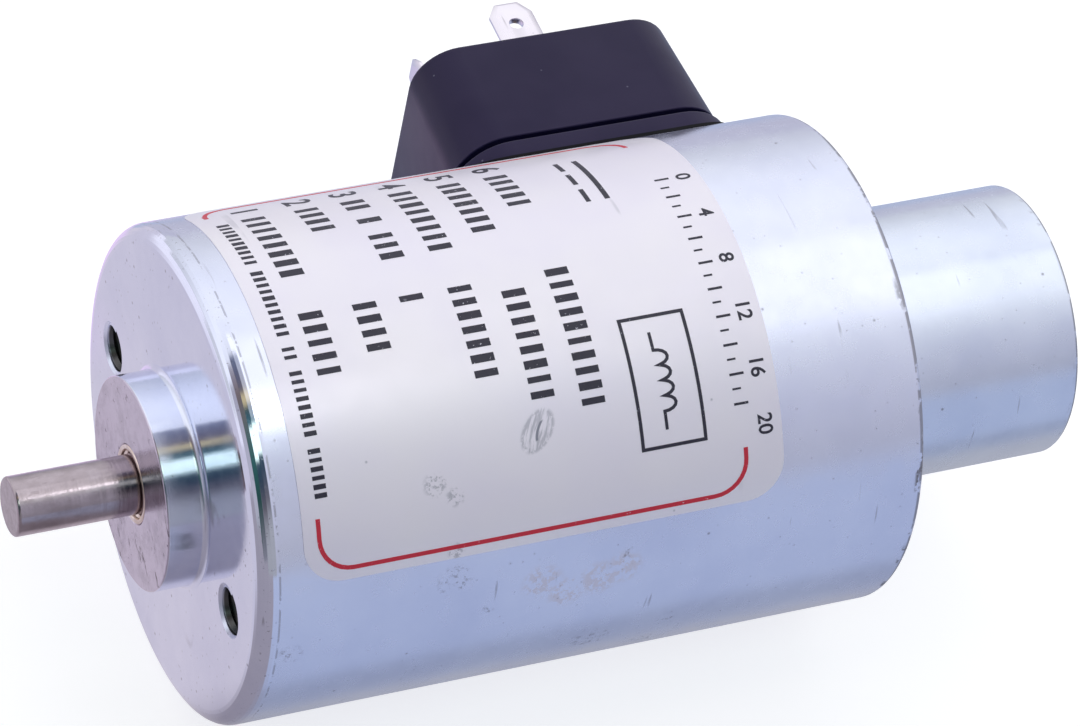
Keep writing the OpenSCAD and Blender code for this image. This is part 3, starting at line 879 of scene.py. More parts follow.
@dataclass(frozen=True)
class StudioFloorFinish:
    """Pale floor: white to the lens, paler grey in the metal, and it keeps the soft shadow."""

    name: str = "studio_floor"
    colour: Colour = (0.56, 0.56, 0.575)
    glow: float = 0.67
    in_metal: Colour = (0.10, 0.10, 0.11)
    behind: Colour = (0.37, 0.42, 0.57)
    below: Colour = (0.39, 0.39, 0.43)
    close: Colour = (0.63, 0.57, 0.63)
    before: Colour = (0.58, 0.535, 0.61)
    far: Colour = (0.27, 0.235, 0.27)
    beside: Colour = (0.90, 0.86, 0.92)
    distant: Colour = (0.47, 0.45, 0.53)
    wall: Colour = (0.78, 0.60, 0.84)
    seam: Colour = (0.27, 0.30, 0.40)
    below_y: Ramp = (0.034, 0.016)
    distant_y: Ramp = (-0.09, -0.13)
    seam_y: tuple[Ramp, Ramp] = ((0.019, 0.026), (0.036, 0.030))
    before_x: Ramp = (0.004, 0.018)
    far_y: Ramp = (0.006, 0.016)
    front_x: Ramp = (-0.010, 0.002)
    wall_x: tuple[Ramp, Ramp] = ((-0.034, -0.022), (0.012, 0.002))
    wall_y: tuple[Ramp, Ramp] = ((-0.034, -0.044), (-0.085, -0.07))
    corner: tuple[Ramp, Ramp] = ((0.03, 0.07), (-0.045, -0.085))

    def _reflected(self, kit: NodeKit, part: Node) -> Socket:
        """The cards that the metal reflects from the floor, by their places along X and Y in metres.

        Args:
            part: Separate coordinates.

        Returns:
            The colour socket.
        """
        x, y = part.outputs[0], part.outputs[1]
        under = kit.ramp(kit.math("ABSOLUTE", y), *self.below_y)
        rear = kit.blend(
            kit.ramp(y, *self.distant_y), kit.blend(under, self.behind, self.below), self.distant
        )
        stripe = kit.times(*(kit.ramp(y, *edge) for edge in self.seam_y))
        rear = kit.blend(kit.times(stripe, 0.8), rear, self.seam)
        front = kit.blend(kit.ramp(x, *self.before_x), self.close, self.before)
        front = kit.blend(kit.ramp(y, *self.far_y), front, self.far)
        card = kit.blend(kit.ramp(x, *self.front_x), rear, front)
        strip = kit.times(
            *(kit.ramp(x, *edge) for edge in self.wall_x), *(kit.ramp(y, *edge) for edge in self.wall_y)
        )
        corner = kit.times(kit.ramp(x, *self.corner[0]), kit.ramp(y, *self.corner[1]))
        return kit.blend(corner, kit.blend(strip, card, self.wall), self.beside)

    def material(self) -> Material:
        """Builds the floor with a faint unevenness and a share of its own light for the lens.

        Returns:
            The material.
        """
        material, kit, surface, spot = shade_start(self.name)
        cloud = kit.noise(spot, 3.0, 2.0, 0.5)
        ray = kit.add("ShaderNodeLightPath")
        shiny = kit.most(ray.outputs["Is Glossy Ray"], ray.outputs["Is Transmission Ray"])
        pale = kit.blend(cloud, self.colour, tuple(c * 0.97 for c in self.colour))
        kit.put(surface, "Base Color", kit.blend(shiny, pale, self.in_metal))
        kit.put(surface, "Roughness", 0.8)
        card = self._reflected(kit, kit.add("ShaderNodeSeparateXYZ", Vector=spot))
        metal = kit.blend(shiny, (0.0, 0.0, 0.0), card)
        kit.put(surface, "Emission Color", kit.blend(ray.outputs["Is Camera Ray"], metal, (self.glow,) * 3))
        kit.put(surface, "Emission Strength", 1.0)
        return material


# ---- mesh building


def rounded(corners: Sequence[tuple[float, ...]], steps: int = 5, guard: float = 0.04) -> Profile:
    """Rounds the corners of a closed profile and holds its long edges straight.

    Args:
        corners: (x, r) or (x, r, fillet) for each corner in order.
        steps: Facets in each fillet.
        guard: Distance from a long edge's ends at which a holding point goes.

    Returns:
        The closed profile.
    """
    out: list[Vector] = []
    count = len(corners)
    for i, corner in enumerate(corners):
        here = Vector(corner[:2])
        size = corner[2] if len(corner) > 2 else 0.0
        if size <= 0.0:
            out.append(here)
            continue
        to_last = (Vector(corners[i - 1][:2]) - here).normalized()
        to_next = (Vector(corners[(i + 1) % count][:2]) - here).normalized()
        half = to_last.angle(to_next) / 2
        centre = here + (to_last + to_next).normalized() * size / math.sin(half)
        start = here + to_last * size / math.tan(half) - centre
        turn = start.angle_signed(here + to_next * size / math.tan(half) - centre)
        for step in range(steps + 1):
            spin = -turn * step / steps
            out.append(centre + Vector((
                start.x * math.cos(spin) - start.y * math.sin(spin),
                start.x * math.sin(spin) + start.y * math.cos(spin),
            )))
    held: Profile = []
    for i, here in enumerate(out):
        after = out[(i + 1) % len(out)]
        held.append((here.x, here.y))
        gap = after - here
        if gap.length > 8 * guard:
            for spot in (here + gap.normalized() * guard, after - gap.normalized() * guard):
                held.append((spot.x, spot.y))
    return held


def revolve(
    profile: Profile, axis: Axis = Axis.ALONG, centre: tuple[float, float] = (0.0, 0.0), segments: int = 192
) -> Mesh:
    """Turns a closed profile about an axis.

    Args:
        profile: (place along the axis, radius) in millimetres.
        axis: Axis.ALONG for X, Axis.PLUG for heights towards -Y.
        centre: Where the axis stands: (x, z) for Axis.PLUG.
        segments: Facets round the axis.

    Returns:
        The closed mesh, normals outwards.
    """
    bm = bmesh.new()
    rings = []
    for place, radius in profile:
        ring = []
        for k in range(segments if radius > 1e-6 else 1):
            a = math.tau * k / segments
            if axis is Axis.ALONG:
                spot = (place, -radius * math.sin(a), radius * math.cos(a))
            else:
                spot = (centre[0] + radius * math.cos(a), -place, centre[1] + radius * math.sin(a))
            ring.append(bm.verts.new(Vector(spot) * MM))
        rings.append(ring)
    for i, ring in enumerate(rings):
        other = rings[(i + 1) % len(rings)]
        if len(ring) == 1 and len(other) == 1:
            continue
        for k in range(segments):
            n = (k + 1) % segments
            quad = [ring[k % len(ring)], ring[n % len(ring)], other[n % len(other)], other[k % len(other)]]
            bm.faces.new(list(dict.fromkeys(quad)))
    bmesh.ops.recalc_face_normals(bm, faces=bm.faces)
    return bm


def stack(loops: Sequence[Sequence[Point]]) -> Mesh:
    """Joins loops of equal count, in millimetres, into a closed solid with flat ends.

    Args:
        loops: Points of each loop, from one end to the other.

    Returns:
        The closed mesh.
    """
    bm = bmesh.new()
    rows = [[bm.verts.new(Vector(p) * MM) for p in loop] for loop in loops]
    for low, high in zip(rows, rows[1:]):
        for k in range(len(low)):
            n = (k + 1) % len(low)
            bm.faces.new((low[k], low[n], high[n], high[k]))
    bm.faces.new(rows[0])
    bm.faces.new(rows[-1])
    bmesh.ops.recalc_face_normals(bm, faces=bm.faces)
    return bm


def to_object(name: str, bm: Mesh) -> Piece:
    """Makes a scene object of a mesh under construction.

    Args:
        name: The object's name.
        bm: The mesh, freed here.

    Returns:
        The object.
    """
    mesh = bpy.data.meshes.new(name)
    bm.to_mesh(mesh)
    bm.free()
    obj = bpy.data.objects.new(name, mesh)
    bpy.context.scene.collection.objects.link(obj)
    return obj


def settle(obj: Piece) -> Piece:
    """Applies an object's modifiers to a plain mesh.

    Args:
        obj: The object.

    Returns:
        The same object.
    """
    bpy.context.view_layer.update()
    graph = bpy.context.evaluated_depsgraph_get()
    made = bpy.data.meshes.new_from_object(
        obj.evaluated_get(graph), preserve_all_data_layers=True, depsgraph=graph
    )
    obj.modifiers.clear()
    old, obj.data = obj.data, made
    made.name = obj.name
    bpy.data.meshes.remove(old)
    return obj


def cut(obj: Piece, cutters: Iterable[Mesh]) -> Piece:
    """Cuts shapes out of an object.

    Args:
        obj: The object that is cut.
        cutters: Closed shapes to take away, one after another.

    Returns:
        The same object with a plain mesh.
    """
    for i, shape in enumerate(cutters):
        tool = to_object(f"{obj.name}_cutter_{i}", shape)
        step = obj.modifiers.new("cut", "BOOLEAN")
        step.operation = "DIFFERENCE"
        step.solver = "EXACT"
        step.object = tool
        settle(obj)
        data = tool.data
        bpy.data.objects.remove(tool)
        bpy.data.meshes.remove(data)
    return obj


def soften(obj: Piece, width: float, angle: float, segments: int = 2) -> Piece:
    """Rounds an object's edges that bend by more than an angle in degrees, by a width in millimetres.

    Args:
        obj: The object.
        width: Width of the rounding.
        angle: Least bend.
        segments: Facets across it.

    Returns:
        The same object.
    """
    step = obj.modifiers.new("soft_edges", "BEVEL")
    step.width = width * MM
    step.segments = segments
    step.limit_method = "ANGLE"
    step.angle_limit = math.radians(angle)
    return settle(obj)


def smooth(obj: Piece, angle: float = 32.0) -> Piece:
    """Shades an object smooth, with edges over the angle in degrees left sharp.

    Args:
        obj: The object.
        angle: Greatest bend shaded smooth.

    Returns:
        The same object.
    """
    mesh = obj.data
    mesh.polygons.foreach_set("use_smooth", [True] * len(mesh.polygons))
    mesh.set_sharp_from_angle(angle=math.radians(angle))
    return obj


def merge(parts: Iterable[Piece], name: str) -> Piece:
    """Joins objects into one new object of that name and removes them.

    Args:
        parts: Objects to join.
        name: The new object's name.

    Returns:
        The new object.
    """
    bm = bmesh.new()
    for part in parts:
        bm.from_mesh(part.data)
        data = part.data
        bpy.data.objects.remove(part)
        bpy.data.meshes.remove(data)
    return to_object(name, bm)


def box_shape(low: Point, high: Point) -> Mesh:
    """A box between two corners in millimetres."""
    (x0, y0, z0), (x1, y1, z1) = low, high
    return stack([[(x0, y0, z), (x1, y0, z), (x1, y1, z), (x0, y1, z)] for z in (z0, z1)])


def rod_shape(radius: float, start: float, end: float, centre: tuple[float, float]) -> Mesh:
    """A round bar in millimetres that stands towards -Y, from start to end in height, at an (x, z) centre."""
    return revolve([(start, 0.0), (start, radius), (end, radius), (end, 0.0)], Axis.PLUG, centre, 64)


def dress(
    obj: Piece, material: Material, body: Body, stands_for: Sequence[str] = (),
) -> Piece:
    """Gives a made piece its finish and its body.

    Args:
        obj: The piece, in its final place.
        material: Its finish.
        body: The body it rides on.
        stands_for: CAD nodes it is shown in place of.

    Returns:
        The piece.
    """
    obj.data.materials.clear()
    obj.data.materials.append(material)
    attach(obj, body.value)
    if stands_for:
        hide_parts(*stands_for)
    LOG.info("%s on %s: %d faces", obj.name, body.value, len(obj.data.polygons))
    return obj


# ---- geometry nodes


class RepeatTree:
    """A geometry node tree whose result is taken as a plain mesh."""

    def __init__(self, name: str, inputs: Sequence[tuple[str, str, object]]) -> None:
        """Opens the tree.

        Args:
            name: The tree's name.
            inputs: Name, socket type and default of each input.
        """
        self.tree = bpy.data.node_groups.new(name, "GeometryNodeTree")
        for label, kind, value in inputs:
            socket = self.tree.interface.new_socket(name=label, in_out="INPUT", socket_type=kind)
            if value is not None:
                socket.default_value = value
        self.tree.interface.new_socket(name="Finish", in_out="INPUT", socket_type="NodeSocketMaterial")
        self.tree.interface.new_socket(name="Geometry", in_out="OUTPUT", socket_type="NodeSocketGeometry")
        self.kit = NodeKit(self.tree)
        self.given = self.kit.add("NodeGroupInput").outputs

    def close(self, geometry: Socket) -> None:
        """Ends the tree in Realize Instances and Set Material.

        Args:
            geometry: What the tree has made.
        """
        real = self.kit.add("GeometryNodeRealizeInstances", Geometry=geometry)
        paint = self.kit.add(
            "GeometryNodeSetMaterial", Geometry=real.outputs[0], Material=self.given["Finish"]
        )
        self.kit.add("NodeGroupOutput", Geometry=paint.outputs[0])

    def make(self, name: str, finish: Material, **values: object) -> Piece:
        """Runs the tree once.

        Args:
            name: Name of the object made.
            finish: Its material.
            **values: Inputs by name, spaces as underscores.

        Returns:
            An object with a plain mesh, at the origin.
        """
        obj = to_object(name, bmesh.new())
        step = obj.modifiers.new("repeat", "NODES")
        step.node_group = self.tree
        wanted = {label.replace("_", " "): value for label, value in values.items()} | {"Finish": finish}
        for item in self.tree.interface.items_tree:
            if item.item_type == "SOCKET" and item.in_out == "INPUT" and item.name in wanted:
                step[item.identifier] = wanted[item.name]
        return settle(obj)


class ThreadTree(RepeatTree):
    """The ribs of an internal screw thread, about Z from the origin up."""

    def __init__(self) -> None:
        """Builds the tree: a small square profile swept along a spiral."""
        super().__init__(
            "thread_ribs",
            [
                ("Radius", "NodeSocketFloat", 0.0025), ("Depth", "NodeSocketFloat", 0.0004),
                ("Length", "NodeSocketFloat", 0.006), ("Pitch", "NodeSocketFloat", 0.0008),
            ],
        )
        kit, given = self.kit, self.given
        turns = kit.math("DIVIDE", given["Length"], given["Pitch"])
        path = kit.add(
            "GeometryNodeCurveSpiral", Resolution=40, Rotations=turns, Start_Radius=given["Radius"],
            End_Radius=given["Radius"], Height=given["Length"],
        )
        rib = kit.add("GeometryNodeCurvePrimitiveCircle", Resolution=4, Radius=given["Depth"])
        sweep = kit.add(
            "GeometryNodeCurveToMesh", Curve=path.outputs[0], Profile_Curve=rib.outputs[0], Fill_Caps=True
        )
        self.close(sweep.outputs[0])


class MarkTree(RepeatTree):
    """A row of printed blocks along Y: rows of a table, small print or the ticks of a scale."""

    def __init__(self) -> None:
        """Builds the tree: flat blocks of seeded width on a line of points."""
        super().__init__(
            "mark_row",
            [
                ("Count", "NodeSocketInt", 8),
                ("Pitch", "NodeSocketFloat", 1.6),
                ("Tall", "NodeSocketFloat", 2.6),
                ("Wide", "NodeSocketFloat", 1.2),
                ("Narrowest", "NodeSocketFloat", 1.0),
                ("Keep", "NodeSocketFloat", 1.0),
                ("Seed", "NodeSocketInt", 1),
            ],
        )
        kit, given = self.kit, self.given
        offset = kit.add("ShaderNodeCombineXYZ", Y=given["Pitch"])
        line = kit.add("GeometryNodeMeshLine", Count=given["Count"], Offset=offset.outputs[0])
        size = kit.add("ShaderNodeCombineXYZ", X=given["Tall"], Y=given["Wide"], Z=0.05)
        block = kit.add("GeometryNodeMeshCube", Size=size.outputs[0])
        width = kit.add("FunctionNodeRandomValue", Seed=given["Seed"])
        width.data_type = "FLOAT"
        kit.put(width, 2, given["Narrowest"])
        kit.put(width, 3, 1.0)
        kept = kit.add("FunctionNodeRandomValue", Seed=kit.math("ADD", given["Seed"], 50.0))
        kept.data_type = "BOOLEAN"
        kit.put(kept, "Probability", given["Keep"])
        scale = kit.add("ShaderNodeCombineXYZ", X=1.0, Y=width.outputs[1], Z=1.0)
        placed = kit.add(
            "GeometryNodeInstanceOnPoints", Points=line.outputs[0], Selection=kept.outputs[3],
            Instance=block.outputs[0], Scale=scale.outputs[0],
        )
        self.close(placed.outputs[0])


# ---- the solenoid


@dataclass
class HousingShell:
    """The drawn steel can with its closed front, tapped holes and rolled rear lip."""

    radius: float = 25.0
    length: float = 70.0
    bore: float = 22.5
    lip: float = 21.1
    lip_thick: float = 1.0
    lip_round: float = 0.25
    front_wall: float = 6.0
    front_round: float = 1.8
    rear_round: float = 0.7
    boss_hole: float = 10.76
    hole_off: float = 17.5
    hole_deep: float = 8.0
    thread_core: float = 2.1
    thread_depth: float = 0.4
    thread_pitch: float = 0.8
    thread_span: tuple[float, float] = (-5.6, -0.4)
    root_sunk: float = 0.03
    mouth: float = 2.75
    wire_at: float = -52.3
    wire_hole: float = 4.0
    screw_off: float = 11.35
    screw_hole: float = 1.21
    wall_through: tuple[float, float] = (21.0, 27.0)
    finish: PlatedFinish = field(default_factory=lambda: PlatedFinish(
        "can_zinc", pit_share=0.06, rim_x=-69.7, polish_x=-2.0, crease_x=-2.1, scuffs=SCUFFS, stains=STAINS,
        bores=((17.5, 0.0, 2.78), (-17.5, 0.0, 2.78)),
    ))

    def build(self, threads: ThreadTree) -> list[Piece]:
        """Turns the can, cuts its holes and threads the two front ones.

        Args:
            threads: The tree that makes thread ribs.

        Returns:
            The pieces made.
        """
        back = -self.length
        can = to_object("can_shell", revolve(rounded([
            (back, self.lip, self.lip_round), (back, self.radius, self.rear_round),
            (0.0, self.radius, self.front_round), (0.0, self.boss_hole),
            (-self.front_wall, self.boss_hole), (-self.front_wall, self.bore),
            (back + self.lip_thick, self.bore), (back + self.lip_thick, self.lip),
        ], steps=7), segments=256))
        tapped = self.thread_core + self.thread_depth - self.root_sunk
        cutters = []
        for side in (-1, 1):
            hole = revolve([
                (-self.hole_deep, 0.0), (-self.hole_deep, tapped), (tapped - self.mouth, tapped),
                (0.0, self.mouth), (1.0, self.mouth), (1.0, 0.0),
            ], segments=72)
            bmesh.ops.translate(hole, verts=hole.verts, vec=Vector((0.0, side * self.hole_off, 0.0)) * MM)
            cutters.append(hole)
            cutters.append(rod_shape(
                self.screw_hole, *self.wall_through, (self.wire_at + side * self.screw_off, 0.0)
            ))
        cutters.append(rod_shape(self.wire_hole, *self.wall_through, (self.wire_at, 0.0)))
        material = self.finish.material()
        made = [dress(smooth(cut(can, cutters)), material, Body.HOUSING, ["housing_can"])]
        deep, shallow = self.thread_span
        for side, name in ((-1, "upper"), (1, "lower")):
            ribs = threads.make(
                f"bolt_thread_{name}", material, Radius=(self.thread_core + self.thread_depth) * MM,
                Depth=self.thread_depth * MM, Length=(shallow - deep) * MM, Pitch=self.thread_pitch * MM,
            )
            place = Matrix.Translation(Vector((deep, side * self.hole_off, 0.0)) * MM)
            ribs.data.transform(place @ Matrix.Rotation(math.pi / 2, 4, "Y"))
            made.append(dress(smooth(ribs, 20.0), material, Body.HOUSING))
        return made


@dataclass
class PoleFace:
    """The pole core with its front boss, and the bronze bush that guides the rod."""

    boss: float = 10.75
    height: float = 4.0
    chamfer: float = 0.22
    foot: tuple[tuple[float, float], ...] = ((0.5, 0.0), (0.3, 0.08), (0.12, 0.24), (0.02, 0.5), (0.0, 0.5))
    undercut: tuple[float, float] = (0.5, 0.25)
    shoulder: float = -6.0
    core: float = 15.8
    core_end: float = -26.0
    seat_mouth: float = 13.0
    seat_floor: tuple[float, float] = (-18.0, 6.0)
    rod_way: float = 3.55
    bush: float = 4.0
    bush_bore: float = 3.29
    bush_back: float = -8.0
    bush_face: float = 4.05
    fit: float = 0.01
    core_finish: PlatedFinish = field(default_factory=lambda: PlatedFinish(
        "boss_zinc", line_density=4200.0, line_depth=0.7, roughness=0.19, brushed=0.95, pit_share=0.03,
        face_x=3.95, bare=(0.11, 0.08, 0.10),
    ))
    bush_finish: TurnedMetalFinish = field(default_factory=lambda: TurnedMetalFinish(
        "bush_bronze", (0.92, 0.82, 0.78), (0.60, 0.47, 0.40), 0.2
    ))

    def build(self) -> list[Piece]:
        """Turns the core and the bush.

        Returns:
            The pieces.
        """
        wide, deep = self.undercut
        core = to_object("pole_boss", revolve(rounded([
            (self.height - 0.14, self.bush + self.fit), (self.height, self.bush + 0.13),
            (self.height, self.boss, self.chamfer), *((x, self.boss + out) for x, out in self.foot),
            (0.0, self.boss - deep), (-wide, self.boss - deep), (-wide, self.boss),
            (self.shoulder, self.boss), (self.shoulder, self.core), (self.core_end, self.core),
            (self.core_end, self.seat_mouth), self.seat_floor, (self.seat_floor[0], self.rod_way),
            (self.bush_back, self.rod_way), (self.bush_back, self.bush + self.fit),
        ], steps=4), segments=224))
        bush = to_object("rod_bush", revolve(rounded([
            (3.4, self.bush_bore), (3.62, 3.48, 0.1), (self.bush_face, 3.5, 0.2),
            (self.bush_face, self.bush - self.fit, 0.18), (self.bush_back, self.bush - self.fit),
            (self.bush_back, self.bush_bore),
        ]), segments=128))
        return [
            dress(smooth(core), self.core_finish.material(), Body.HOUSING, ["pole_core"]),
            dress(smooth(bush), self.bush_finish.material(), Body.HOUSING, ["front_bush"]),
        ]


@dataclass
class Armature:
    """The plunger with its slide ring and cross pin, and the push rod."""

    nose: float = -38.8
    nose_face: float = 5.7
    cone_end: tuple[float, float] = (-46.8, 12.7)
    head: float = 15.6
    head_end: float = -61.5
    ring_groove: tuple[float, float] = (-50.6, -56.6)
    ring_seat: float = 14.16
    tail: float = 14.0
    end: float = -92.8
    rod: float = 3.0
    shank: float = 3.25
    shank_end: tuple[float, float] = (3.2, 3.45)
    rod_foot: float = -52.8
    rod_bore: float = 3.26
    tip: float = 16.5
    pin_at: float = -48.6
    pin_hole: float = 1.01
    pull_core: float = 2.5
    pull_depth: float = 0.5
    pull_pitch: float = 1.0
    pull_length: float = 11.4
    pull_bore: tuple[float, float] = (12.0, 13.4)
    root_sunk: float = 0.03
    plunger_finish: PlatedFinish = field(default_factory=lambda: PlatedFinish(
        "plunger_zinc", light=(0.82, 0.88, 0.99), dark=(0.68, 0.74, 0.88), line_density=3600.0,
        line_depth=0.55, rim_x=-92.75, rim_r=14.0, rim_chips=0.25, pit_share=0.05,
    ))
    rod_finish: TurnedMetalFinish = field(default_factory=lambda: TurnedMetalFinish(
        "rod_steel", (0.50, 0.44, 0.48), (0.33, 0.28, 0.30), 0.17, grain=1.4
    ))

    def build(self, threads: ThreadTree) -> list[Piece]:
        """Turns the plunger and rod and threads the pull hole.

        Args:
            threads: The tree that makes thread ribs.

        Returns:
            The pieces made.
        """
        major = self.pull_core + self.pull_depth - self.root_sunk
        front, back = self.ring_groove
        bored, drilled = self.pull_bore
        plunger = to_object("plunger_body", revolve(rounded([
            (self.nose, self.rod_bore), (self.nose, self.nose_face, 0.3),
            self.cone_end, (self.cone_end[0], self.head, 0.3),
            (front, self.head), (front, self.ring_seat), (back, self.ring_seat), (back, self.head),
            (self.head_end, self.head, 0.3), (self.head_end, self.tail), (self.end, self.tail, 0.45),
            (self.end, major + 0.45), (self.end + 0.5, major), (self.end + bored, major),
            (self.end + drilled, 0.0), (self.rod_foot, 0.0), (self.rod_foot, self.rod_bore),
        ], steps=5), segments=224))
        rod = to_object("rod_body", revolve(rounded([
            (self.rod_foot, 0.0), (self.rod_foot, self.shank), (self.shank_end[0], self.shank),
            (self.shank_end[1], self.rod), (self.tip, self.rod, 0.3), (self.tip, 0.0),
        ], steps=4), segments=128))
        for piece in (plunger, rod):
            cut(piece, [rod_shape(self.pin_hole, -30.0, 30.0, (self.pin_at, 0.0))])
        steel = self.plunger_finish.material()
        ribs = threads.make(
            "pull_thread", steel, Radius=(self.pull_core + self.pull_depth) * MM, Depth=self.pull_depth * MM,
            Length=self.pull_length * MM, Pitch=self.pull_pitch * MM,
        )
        place = Matrix.Translation(Vector((self.end + 0.6, 0.0, 0.0)) * MM)
        ribs.data.transform(place @ Matrix.Rotation(math.pi / 2, 4, "Y"))
        return [
            dress(smooth(plunger), steel, Body.ARMATURE, ["plunger"]),
            dress(smooth(rod), self.rod_finish.material(), Body.ARMATURE, ["push_rod"]),
            dress(smooth(ribs, 20.0), steel, Body.ARMATURE),
        ]


@dataclass
class RearClosure:
    """The rear plate inside the rolled lip, with the bush that the plunger slides in."""

    front: float = -63.0
    back: float = -69.0
    radius: float = 22.45
    seal: tuple[float, float] = (-65.2, -66.8)
    seal_deep: float = 1.1
    bush_out: float = 15.54
    bush_in: float = 14.04
    fit: float = 0.01
    plate_finish: PlatedFinish = field(default_factory=lambda: PlatedFinish(
        "plate_zinc", line_density=1800.0, roughness=0.3
    ))
    bush_finish: TurnedMetalFinish = field(default_factory=lambda: TurnedMetalFinish(
        "rear_bush_bronze", (0.50, 0.37, 0.22), (0.27, 0.19, 0.11), 0.38
    ))

    def build(self) -> list[Piece]:
        """Turns the plate, with its seal groove, and its bush.

        Returns:
            The pieces.
        """
        front, back = self.seal
        groove, bore = self.radius - self.seal_deep, self.bush_out + self.fit
        plate = to_object("end_plate", revolve(rounded([
            (self.front, bore), (self.front, self.radius), (front, self.radius), (front, groove),
            (back, groove), (back, self.radius), (self.back, self.radius), (self.back, bore),
        ]), segments=224))
        bush = to_object("tail_bush", revolve(rounded([
            (self.front, self.bush_in), (self.front, self.bush_out), (self.back, self.bush_out, 0.2),
            (self.back, self.bush_in, 0.35),
        ]), segments=192))
        return [
            dress(smooth(plate), self.plate_finish.material(), Body.HOUSING, ["rear_plate"]),
            dress(smooth(bush), self.bush_finish.material(), Body.HOUSING, ["rear_bush"]),
        ]


@dataclass
class PlugBase:
    """The moulded plug base with its blades, screws and threaded insert."""

    at: float = -52.3
    length: float = 29.8
    width: float = 28.0
    corner: float = 5.5
    taper: float = 0.6
    foot_out: float = 0.45
    foot_top: float = 23.2
    foot_round: float = 0.4
    groove_deep: float = 0.75
    groove_tall: float = 0.8
    root: float = 11.0
    top: float = 38.0
    edge: float = 0.5
    saddle: float = 25.5
    below: float = 10.0
    pocket_long: float = 15.0
    pocket_wide: float = 22.0
    blade_wide: float = 4.8
    blade_thick: float = 0.8
    blade_tip: float = 47.0
    earth_tip: float = 48.2
    blade_off: float = 8.6
    earth_off: float = 8.7
    tail_wide: float = 2.4
    blade_foot: float = 28.3
    earth_foot: float = 25.05
    blade_taper: tuple[float, float] = (1.1, 1.6)
    hole: float = 0.75
    hole_down: float = 3.2
    screw_off: float = 11.35
    screw: float = 1.2
    screw_head: float = 1.7
    screw_span: tuple[float, float] = (22.85, 37.0)
    head_seat: float = 35.4
    slot_wide: float = 0.6
    slot_floor: float = 36.2
    insert: float = 2.4
    insert_foot: float = 32.0
    insert_bore: float = 1.47
    insert_pitch: float = 0.5
    slack: float = 0.05
    fit: float = 0.01
    pocket_top: float = 31.0
    plastic: MouldedFinish = field(default_factory=lambda: MouldedFinish(
        "base_plastic", (0.008, 0.007, 0.040), (0.013, 0.011, 0.047), 0.36, specular=0.25,
        gloss=(0.93, 0.74, 0.98), dust_share=0.09,
    ))
    tin: PlatedFinish = field(default_factory=lambda: PlatedFinish(
        "blade_tin", light=(0.95, 0.92, 0.98), dark=(0.84, 0.80, 0.88), roughness=0.3, line_density=2200.0,
        pit_share=0.04,
    ))
    screw_zinc: PlatedFinish = field(default_factory=lambda: PlatedFinish(
        "screw_zinc", line_density=5200.0, roughness=0.26
    ))
    brass: TurnedMetalFinish = field(default_factory=lambda: TurnedMetalFinish(
        "insert_brass", (0.70, 0.52, 0.22), (0.38, 0.27, 0.10), 0.3
    ))

    def _loop(self, out: float, height: float, points: int = 10) -> list[Point]:
        """A rounded rectangle, grown outwards by out from the base's foot outline, at a height.

        Args:
            out: Growth outwards.
            height: Distance from the can's axis.
            points: Steps in each corner.

        Returns:
            The loop's points.
        """
        half_l, half_w, r = self.length / 2 + out, self.width / 2 + out, self.corner + out
        spots: list[Point] = []
        for k, (sx, sz) in enumerate(((1, 1), (-1, 1), (-1, -1), (1, -1))):
            for i in range(points + 1):
                a = math.pi / 2 * (k + i / points)
                spots.append((
                    self.at + sx * (half_l - r) + r * math.cos(a), -height,
                    sz * (half_w - r) + r * math.sin(a),
                ))
        return spots

    def _moulding(self) -> Piece:
        """The moulding: foot flange, drafted walls, rounded edges, pocket, slots and bores.

        Returns:
            The moulding.
        """
        levels = [(self.foot_out, self.root)]
        bend = self.foot_round
        for i in range(6):
            a = math.pi / 2 * i / 5
            levels.append((
                self.foot_out - bend * (1 - math.cos(a)), self.foot_top - bend + bend * math.sin(a)
            ))
        groove_top = self.foot_top + self.groove_tall
        levels += [
            (0.0, self.foot_top + 0.01), (-self.groove_deep, self.foot_top + 0.03),
            (-self.groove_deep, groove_top), (-0.08, groove_top),
            (0.0, groove_top + 0.08), (-0.02, groove_top + 0.4),
        ]
        levels.append((-self.taper + 0.02, self.top - self.edge - 0.1))
        for i in range(7):
            a = math.pi / 2 * i / 6
            levels.append((
                -self.taper - self.edge * (1 - math.cos(a)), self.top - self.edge + self.edge * math.sin(a)
            ))
        levels.append((-self.taper - self.edge - 0.06, self.top))
        body = to_object("base_moulding", stack([self._loop(out, height) for out, height in levels]))
        half = self.blade_wide / 2 + self.slack
        slit = self.blade_thick / 2 + self.slack
        tail = self.tail_wide / 2 + self.slack
        long, wide = self.pocket_long / 2, self.pocket_wide / 2
        earth = self.at + self.earth_off
        cutters = [
            revolve([(-80.0, 0.0), (-80.0, self.saddle), (10.0, self.saddle), (10.0, 0.0)], segments=360),
            box_shape((self.at - long, -self.pocket_top, -wide), (self.at + long, -self.below, wide)),
            box_shape((earth - slit, -self.top - 1.0, -half), (earth + slit, -self.pocket_top, half)),
            box_shape((earth - slit, -self.pocket_top - 0.5, -tail), (earth + slit, -self.below, tail)),
            rod_shape(self.insert + self.fit, self.insert_foot, self.top + 1.0, (self.at, 0.0)),
        ]
        well = self.screw_head + self.slack
        for side in (-1, 1):
            mid = side * self.blade_off
            spot = (self.at + side * self.screw_off, 0.0)
            cutters.append(box_shape(
                (self.at - half, -self.top - 1.0, mid - slit),
                (self.at + half, -self.pocket_top + 1.0, mid + slit),
            ))
            cutters.append(rod_shape(self.screw + 0.05, self.below, 36.0, spot))
            cutters.append(revolve([
                (self.head_seat, 0.0), (self.head_seat, well), (self.top - 0.15, well),
                (self.top + 0.2, well + 0.35), (self.top + 1.0, well + 0.35), (self.top + 1.0, 0.0),
            ], Axis.PLUG, spot, 64))
        return cut(body, cutters)

